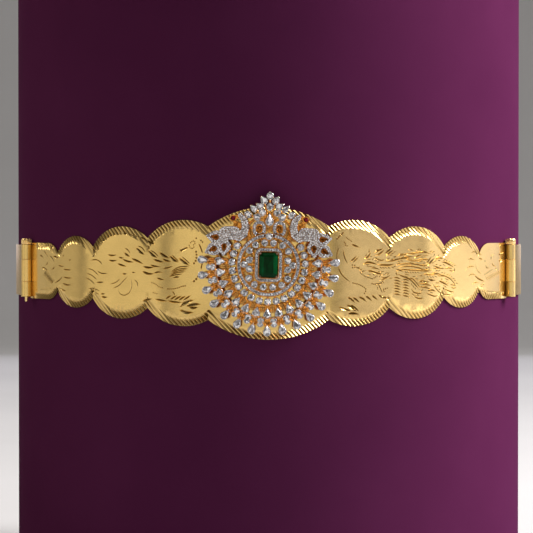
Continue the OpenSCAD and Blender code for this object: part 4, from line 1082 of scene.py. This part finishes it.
def grown(name, slot, seed_mesh, tree, **inputs):
    """What a geometry tree makes of a mesh, as a plain piece on the belt."""
    seed = shown(name + "_seed", seed_mesh)
    grower = seed.modifiers.new(name, "NODES")
    grower.node_group = tree
    for item in tree.interface.items_tree:
        if item.in_out == "INPUT" and item.name in inputs:
            grower[item.identifier] = inputs[item.name]
    result = bpy.data.meshes.new_from_object(seed.evaluated_get(bpy.context.evaluated_depsgraph_get()))
    seed.modifiers.clear()
    bpy.data.objects.remove(seed)
    piece = shown(name, result)
    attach(piece, "belt_on_drum")


def sow(name, slot, places, sizes, shape, finish, unevenness, turns=0.0, seed=1):
    """Copies of a shape on places of the pendant."""
    mesh = mesh_of(name + "_places", hung(places), [])
    give(mesh, "size", np.broadcast_to(sizes, len(places)).astype(float))
    give(mesh, "turn", (np.zeros((len(places), 3)) + np.outer(turns, (0, 1, 0))).ravel(), "FLOAT_VECTOR")
    grown(name, slot, mesh, sown, Shape=shape, Finish=finish, Unevenness=unevenness, Seed=seed)


def wire(name, ways, radius, finish, sides=6, seed=1):
    """Wires along ways on the pendant. Each way is points, and whether it closes."""
    points, edges = [], []
    for way, closed in ways:
        first = len(points)
        points += list(hung(way))
        edges += [(first + i, first + i + 1) for i in range(len(way) - 1)]
        edges += [(len(points) - 1, first)] if closed else []
    grown(name, "pendant_gold", mesh_of(name + "_ways", points, [], edges), wired, Radius=radius * 0.001, Sides=sides,
          Finish=finish, Seed=seed)


# A bead, which is only copied and never shown itself
bead_profile = [(math.sin(a), -math.cos(a)) for a in np.linspace(0, math.pi, 6)]
bead_profile[0], bead_profile[-1] = (0, -1), (0, 1)
bead_shape = bpy.data.objects.new("bead_shape", mesh_of("bead_shape", *turned(bead_profile, even_angles(8))))

# The peacocks, from the engraver's drawing: places along each part as shares of circle_r, with half its width
neck = [(1.00, 1.66, 0.88), (0.87, 1.52, 1.28), (0.80, 1.28, 1.60), (0.86, 1.03, 1.60), (1.03, 0.90, 1.52)]
body = [(1.20, 1.05, 2.83), (1.48, 1.05, 2.71)]
# The open cells of its tail: the middle of each one's round end, then its tip
cells = [(1.79, 0.90, 2.10, 0.94), (1.85, 0.51, 2.13, 0.38), (1.51, 0.60, 1.54, 0.30)]
cell_r, cell_border, cell_tip_r, cell_reach, cell_end_r = 1.2, 1.6, 0.4, 0.5, 0.35


def limb_depth(p, chain):
    """How far inside a chain of round ends and straight sides each place lies. The chain is in millimetres."""
    best = np.full(len(p), -99.0)
    for (ax, ay, ar), (bx, by, br) in zip(chain, chain[1:]):
        a, ab = np.array([ax, ay]), np.array([bx - ax, by - ay])
        slant = (ar - br) / np.linalg.norm(ab)
        along_ab = (p - a) @ ab / (ab @ ab)
        off = np.linalg.norm(p - a - along_ab[:, None] * ab, axis=1)
        t = np.clip(along_ab - slant * off / np.linalg.norm(ab) / max(math.sqrt(1 - slant * slant), 0.1), 0, 1)
        best = np.maximum(best, ar + t * (br - ar) - np.linalg.norm(p - a - t[:, None] * ab, axis=1))
    return best


def chain_of(parts):
    return [(circle_r * x, circle_r * y, r) for x, y, r in parts]


def cell_depth(p):
    """How far inside the open cells each place lies."""
    depths = []
    for x, y, tx, ty in cells:
        c, tip = circle_r * np.array([x, y]), circle_r * np.array([tx, ty])
        depths.append(limb_depth(p, [(*c, cell_r), (*(c + cell_reach * (tip - c)), cell_end_r)]))
    return np.max(depths, axis=0)


def away_from_stones(p, stones, grow):
    """How far each place lies outside the seats of some stones."""
    depth = np.full(len(p), 99.0)
    for kind, size, place, turn in stones:
        c, s = math.cos(math.radians(turn)), math.sin(math.radians(turn))
        q = p - place
        q = np.column_stack([q[:, 0] * c + q[:, 1] * s, -q[:, 0] * s + q[:, 1] * c])
        half, r = size[0] / 2, size[1] / 2
        chain = {"round": [(0, 0, r), (0, 0.01, r)], "pear": [(0, r - half, r), (0, half, 0.01)],
                 "oval": [(0, r - half, r), (0, half - r, r)],
                 "marquise": [(0, -half, 0.01), (0, 0, r), (0, half, 0.01)]}[kind]
        depth = np.minimum(depth, -limb_depth(q, chain) - grow)
    return depth


def peacock_depth(p):
    """How far inside a peacock's gold each place lies, for the right one."""
    chains = [neck, body] + [[(x, y, cell_r + cell_border), (tx, ty, cell_tip_r)] for x, y, tx, ty in cells]
    chains += [[(x, y, cell_border), (*body[-1][:2], cell_border)] for x, y, *_ in (cells[0], cells[2])]
    depth = np.max([limb_depth(p, chain_of(chain)) for chain in chains], axis=0)
    eye = ("round", (eye_d, eye_d), eye_at, 0)
    return np.min([depth, -cell_depth(p), away_from_stones(p, crest + row_a + [eye], 0.34)], axis=0)


def packed(depth_of, box, pitch, first, levels, fill=True):
    """Places packed in rows that follow an outline from its edge inward, then wherever one more has room."""
    x, y = (g.ravel() for g in np.meshgrid(np.arange(box[0], box[2], 0.07), np.arange(box[1], box[3], 0.07)))
    p = np.column_stack([x, y])
    depth = depth_of(p)
    p, depth = p[depth > first - 0.05], depth[depth > first - 0.05]
    free, chosen = np.ones(len(p), bool), []

    def choose(index):
        chosen.append(p[index])
        free[np.linalg.norm(p - p[index], axis=1) < pitch] = False

    for level in range(levels):
        ring = np.flatnonzero(abs(depth - first - level * pitch * 0.9) < 0.05)
        last = p[ring[p[ring, 1].argmax()]] if len(ring) else None
        while len(ring) and free[ring].any():
            open_ring = ring[free[ring]]
            choose(open_ring[np.linalg.norm(p[open_ring] - last, axis=1).argmin()])
            last = chosen[-1]
    while fill and free.any():
        rest = np.flatnonzero(free)
        choose(rest[depth[rest].argmin()])
    return np.array(chosen)


def both_sides(places):
    return np.concatenate([places, places * (-1, 1)])


pave_d, pave_pitch, bird_box = 0.88, 0.94, (9, 2.5, 28, 21.5)
chip_share, chip_pitch, chip_room = 0.55, 0.52, 0.30
pave_right = packed(peacock_depth, bird_box, pave_pitch, 0.50, 3)


def left_over(p):
    """How much room the first stones leave for smaller ones."""
    clear = np.min([np.linalg.norm(p - place, axis=1) for place in pave_right], axis=0) - pave_d / 2
    return np.minimum(peacock_depth(p), clear)


pave, chips = both_sides(pave_right), both_sides(packed(left_over, bird_box, chip_pitch, chip_room, 1))
# One stone of it: the part above the girdle only, with a flat bottom that is let into the metal
shape, facets = cut_stone("round", (1.0, 1.0))
shape, facets = shape[:32] - (0, 0, 0.05), [facet for facet in facets if max(facet) < 32] + [tuple(range(31, 15, -1))]
shape = shape[:, [0, 2, 1]] * (1, -1, 1) * pave_d
pave_shape = bpy.data.objects.new("pave_shape", mesh_of("pave_shape", shape, facets))
# Each of its facets gets a tone of painted light
paint_light_on_facets(pave_shape.data, np.random.default_rng(5).random(len(facets)))
turns = np.random.default_rng(6).random(len(pave)) * 6.28
sow("pave_on_peacocks", "white_stone", at_height(pave, peacock_top), 1.0, pave_shape, white_stone, 0.06, turns)
sow("small_pave_on_peacocks", "white_stone", at_height(chips, peacock_top), chip_share, pave_shape, white_stone, 0.08)

# Radii of the grains, the edge's beads and the prongs of large and small stones
grain_r, edge_bead_r, prong_r, small_prong_r, edge_bead_pitch = 0.17, 0.12, 0.24, 0.15, 0.30
# Grains of gold between the set stones, where three of them meet
beads, grain_room = [], 0.4
for i, p in enumerate(pave):
    near = np.flatnonzero((np.linalg.norm(pave - p, axis=1) < 1.5 * pave_pitch) & (np.arange(len(pave)) > i))
    for a in near:
        for b in near[near > a]:
            grain = (p + pave[a] + pave[b]) / 3
            if (np.linalg.norm(pave[a] - pave[b]) < 1.5 * pave_pitch
                    and all(np.linalg.norm(grain - other[:2]) > grain_room for other in beads)):
                beads.append((*grain, peacock_top + 0.04, grain_r))


def bead(places, z, r):
    """Adds beads on flat places of the pendant. Each bead is a place, a height and a radius."""
    beads.extend((x, y, z, r) for x, y in places)


edge = packed(peacock_depth, bird_box, edge_bead_pitch, 0.09, 1, fill=False)
bead(both_sides(edge), peacock_top, edge_bead_r)

# Prongs on each large stone: two at the round end and one at the point, or four round a circle
large = row_a + row_b + row_c + row_d + crest + inner
for kind, size, place, turn in large:
    half, r = size[0] / 2, size[1] / 2
    spots = {"round": [(r * math.sin(a), r * math.cos(a)) for a in (0.4, 1.97, 3.54, 5.11)],
             "pear": [(0, half), (-0.8 * r, r - half - 0.6 * r), (0.8 * r, r - half - 0.6 * r)],
             "oval": [(x * r, y * (half - 0.3 * r)) for y in (1, -1) for x in (-0.7, 0.7)],
             "marquise": [(0, half), (0, -half), (r, 0), (-r, 0)]}[kind]
    bead(set_at(place, turn, spots), seat_top + 0.08, prong_r)
for field in ("circle", "halo", "loops"):
    stones = np.array([stone[2] for stone in fields[field]])
    for stone in stones:
        for other in stones[np.argsort(np.linalg.norm(stones - stone, axis=1))[1:3]]:
            middle, off = (stone + other) / 2, np.array([stone[1] - other[1], other[0] - stone[0]])
            if np.linalg.norm(stone - other) <= 1.6:
                off = off / np.linalg.norm(off) * 0.36
                bead([middle + off, middle - off], seat_top + 0.05, small_prong_r)
beads = np.array(beads)
bead_gold, _, _ = gold_of("white_plated_beads", (0.62, 0.60, 0.58), (0.3, 0.28, 0.26), 0.14)
sow("pendant_beads", "pendant_gold", beads[:, :3], beads[:, 3], bead_shape, bead_gold, 0.25, seed=3)
rims_of_stones = []
for kind, size, place, turn in large:
    grow = np.array(stone_outline(kind, size))
    grow *= 1 + 0.19 / np.maximum(np.linalg.norm(grow, axis=1), 0.4)[:, None]
    rims_of_stones.append((at_height(set_at(place, turn, grow), seat_top), True))
wire("seat_rims", rims_of_stones, 0.19, bead_gold, seed=7)


def ring_way(x, y, r, z, count):
    return np.array([(x + r * math.cos(a), y + r * math.sin(a), z) for a in even_angles(count)]), True


def rounded_way(w, h, r, z):
    way = []
    for cx, cy, start in ((1, 1, 0), (-1, 1, 90), (-1, -1, 180), (1, -1, 270)):
        for a in np.radians(np.linspace(start, start + 90, 7)):
            way.append((cx * (w / 2 - r) + r * math.cos(a), cy * (h / 2 - r) + r * math.sin(a), z))
    return np.array(way), True


def circle_ways(off):
    """Closed ways that run beside the circle, the green stone's frame and the two loops."""
    ways = [ring_way(0, 0, circle_r + off, seat_top, 120),
            rounded_way(halo[0] + 2 * off, halo[1] + 2 * off, halo_corner + off, seat_top)]
    for side in (-1, 1):
        way, _ = rounded_way(2 * (loop_r + off), 2 * (loop_r + loop_stretch + off), loop_r + off - 0.01, seat_top)
        way = way + (loop_at[0] * side, loop_at[1], 0)
        outside = np.linalg.norm(way[:, :2], axis=1) > circle_r + 0.7
        first = int((outside & ~np.roll(outside, 1)).argmax())
        ways.append((np.roll(way, -first, axis=0)[:int(outside.sum())], bool(outside.all())))
    return ways


wire("white_border_wires", circle_ways(-0.56) + circle_ways(0.56), 0.12, bead_gold)
wire("gold_border_wires", circle_ways(0.84)[:2] + circle_ways(-0.84)[:2], 0.16, cast_gold)


# Scrolls and rings of fine wire in the openings
def inner_depth(p):
    """The opening between the circle, the green stone's frame and the drops."""
    depth = circle_r - 0.85 - np.linalg.norm(p, axis=1)
    out = np.maximum(abs(p) - np.array(halo) / 2 + halo_corner, 0)
    around = np.hypot(*out.T) - halo_corner - 0.85
    return np.min([depth, around, away_from_stones(p, inner, 0.3)], axis=0)


def within_loop(p, grow):
    return limb_depth(p, [(loop_at[0], loop_at[1] + up, loop_r + grow) for up in (-loop_stretch, loop_stretch)])


def past_circle(p):
    return np.linalg.norm(p, axis=1) - circle_r - 0.8


def loop_depth(p):
    return np.minimum(within_loop(p, -0.7), past_circle(p))


def throat_depth(p):
    """The opening between the neck, the crest and the loop."""
    within = np.minimum(p[:, 0] - 0.3, 1.62 * circle_r - p[:, 1] - 0.55 * p[:, 0])
    return np.min([-limb_depth(p, chain_of(neck)), -limb_depth(p, chain_of(body)), -within_loop(p, 0.8), within,
                   past_circle(p), away_from_stones(p, crest, 0.34)], axis=0)


scrolls = []
for depth_of, box, r, z in ((inner_depth, (-0.01, -12, 12, 12), 0.42, 1.25), (loop_depth, (1.5, 12, 8, 19), 0.38, 1.3),
                            (throat_depth, (0, 10, 12, 22), 0.42, 1.2), (cell_depth, (17, 3, 27, 13), 0.36, 1.5)):
    for x, y in packed(depth_of, box, 2 * r + 0.14, r * 0.9, 3):
        for side in (-1, 1) if x > 0.3 else (1,):
            scrolls += [ring_way(side * x, y, r, z, 10), ring_way(side * x, y, r * 0.42, z + 0.05, 6)]
half_rays = np.arange(-6.5, 7)
for k in half_rays:
    scrolls += [ring_way(*along((k + side * turn) * ray, r), 0.46, 1.25, 10)
                for turn, r in ((0.09, 17.4), (0.08, 18.4), (0.07, 19.4)) for side in (-1, 1)]
wire("wire_scrolls", scrolls, 0.1, cast_gold, sides=5, seed=2)

# Round bars over the frame's flat ones, and bent ones from ray to ray
links = []


def bar(*places):
    links.append((np.array(places), False))


def on_ray(k, r, z):
    """A place so many rays round from the pendant's foot, so far out and so high."""
    return (*along(k * ray, r), z)


def share_of(x, y, z):
    """A place from shares of circle_r, so high."""
    return circle_r * x, circle_r * y, z


# Straight bars on each ray, between the rows of stones
for k in range(-7, 8):
    for low, high in ((13.3, 14.4), (16.4, 18.4), (21.5, 25.2)):
        bar(on_ray(k, low, 1.2), on_ray(k, (low + high) / 2, 1.35), on_ray(k, high, 1.2))
for k in (-9, -8, 8, 9):
    bar(on_ray(k, 13.3, 1.2), on_ray(k, 14.4, 1.3))
for k in half_rays:
    for side in (-0.5, 0.5):
        for low, middle, high in ((22.2, 21.9, 21.1), (23.2, 24.7, 25.7)):
            bar(on_ray(k, low, 1.25), on_ray(k + side * 0.6, middle, 1.4), on_ray(k + side, high, 1.25))
# Cups of bent wire: round each ray behind the outer drops, and scallops from ray to ray behind the round stones
for k in range(-7, 8):
    for bulge, cup in ((0.16, ((21.9, 0.2), (22.8, 1), (24.2, 1), (25.4, 0.3))),
                       (0.2, ((16.4, 0.3), (17.4, 1), (18.6, 1.1), (19.6, 1.2)))):
        for side in (-1, 1):
            bar(*(on_ray(k + side * bulge * wide, r, 1.3) for r, wide in cup))
for k in half_rays:
    bar(*(on_ray(k + turn, r, 1.3) for turn, r in ((-0.5, 18.2), (-0.25, 17.1), (0, 16.7), (0.25, 17.1), (0.5, 18.2))))
# Bars from the inner drops to the circle, then from the crest's stones to its stem and to the necks
for x, y, _ in inner_stones:
    for side in (-1, 1):
        p = circle_r * np.array([side * x, y])
        q = p / np.linalg.norm(p) * (circle_r - 0.8)
        if np.linalg.norm(p - q) > 1.2:
            bar((*p, 1.1), (*q, 1.25))
for side in (-1, 1):
    for x, y, *_ in (crest_stones[k] for k in (1, 2, 4, 5, 6, 7)):
        bar(share_of(0, 1.45, 1.2), share_of(side * x, y, 1.3))
    for x, y in ((0.430, 1.61), (0.343 + 0.17, 1.22)):
        bar(share_of(side * x, y, 1.25), share_of(side * 0.80, 1.28, 1.3))
bar(share_of(0, 0.97, 1.2), share_of(0, 2.3, 1.2))
wire("ray_links", links, 0.4, cast_gold, sides=8, seed=4)


# --- Floor, light and camera ------------------------------------------------------------------------------------------
# A pale, matt floor that curves up far behind the drum, under a soft and even light that is stronger from the right.
# Upright cards round the front give the polished plate its tones.

floor_stuff, tree, shader = finish_of("pale_floor", Roughness=0.8)
where = object_place(tree)
grain = noise(tree, where, 600, 3, 0.6)
feed(tree, shader,
     Base_Color=ramp(tree, noise(tree, where, 3, 3, 0.5), (0.3, (0.47, 0.46, 0.45)), (0.7, (0.51, 0.50, 0.49))),
     Roughness=ranged(tree, grain, 0.72, 0.9), Normal=bumped(tree, grain, 0.1, 0.0002))
floor_half, floor_front, bend_from, bend_r, wall_top, floor_drop = 5000, -4000, 2200, 1600, 4500, 0.2
way = ([(floor_front, 0)] + [(bend_from + bend_r * math.sin(a), bend_r - bend_r * math.cos(a))
                             for a in np.linspace(0, math.pi / 2, 17)] + [(bend_from + bend_r, wall_top)])
mesh = mesh_of("floor", [(x, y, z - floor_drop) for y, z in way for x in (-floor_half, 0, floor_half)],
               [(k, k + 1, k + 4, k + 3) for k in range(3 * len(way) - 3) if k % 3 < 2])
mesh.materials.append(floor_stuff)
shown("floor", mesh)

world = bpy.data.worlds.new("soft_room")
bpy.context.scene.world = world
world.use_nodes = True
room = world.node_tree.nodes["Background"].inputs
room["Color"].default_value, room["Strength"].default_value = (1.0, 0.97, 0.93, 1), 0.14

# Each panel: its azimuth from the front to the right in degrees, then its distance, height and size in metres, and its
# radiance. The upright cards are of a brightness that a polished band shows at each place; softer light is above
cool, neutral, warm = (1.0, 0.98, 1.2), (1.0, 0.98, 1.0), (1.0, 0.96, 0.82)
for name, azimuth, distance, height, size, radiance, colour in (
        ("card_left", -110, 1.5, 0.32, (1.15, 0.64), 0.33, warm),
        ("card_left_front", -66, 1.5, 0.32, (1.1, 0.64), 0.52, warm),
        ("card_front", -8, 2.0, 0.32, (2.75, 0.64), 0.57, warm),
        ("card_right_front", 50, 1.6, 0.32, (1.1, 0.64), 0.43, cool),
        ("card_right", 98, 1.4, 0.32, (1.4, 0.64), 0.88, cool),
        ("card_back", 180, 1.8, 0.6, (2.0, 1.0), 0.6, cool),
        ("key_above_right", 90, 1.5, 1.30, (1.1, 1.0), 28.0, neutral),
        ("soft_above_left", -105, 1.6, 1.4, (0.9, 0.8), 5.0, warm),
        ("soft_above_front", 8, 1.3, 1.7, (2.2, 0.8), 0.7, neutral)):
    light = bpy.data.lights.new(name, "AREA")
    light.shape, light.size, light.size_y = "RECTANGLE", *size
    light.energy, light.color = radiance * size[0] * size[1] * math.pi, colour
    lamp = shown(name, light)
    lamp.visible_camera = False
    a = math.radians(azimuth)
    lamp.location = (distance * math.sin(a), -distance * math.cos(a), height)
    lamp.rotation_euler = (Vector((0, 0, belt_z * 0.001)) - lamp.location).to_track_quat("-Z", "Y").to_euler()

camera = shown("camera", bpy.data.cameras.new("camera"))
camera.location = (0, -1.150, 0.160)
camera.rotation_euler = (math.radians(89.05), 0, math.radians(0.046))
camera.data.lens, camera.data.sensor_width = 167.98, 36
camera.data.clip_start, camera.data.clip_end = 0.05, 50
bpy.context.scene.camera = camera
bpy.context.scene.view_settings.view_transform = "Standard"
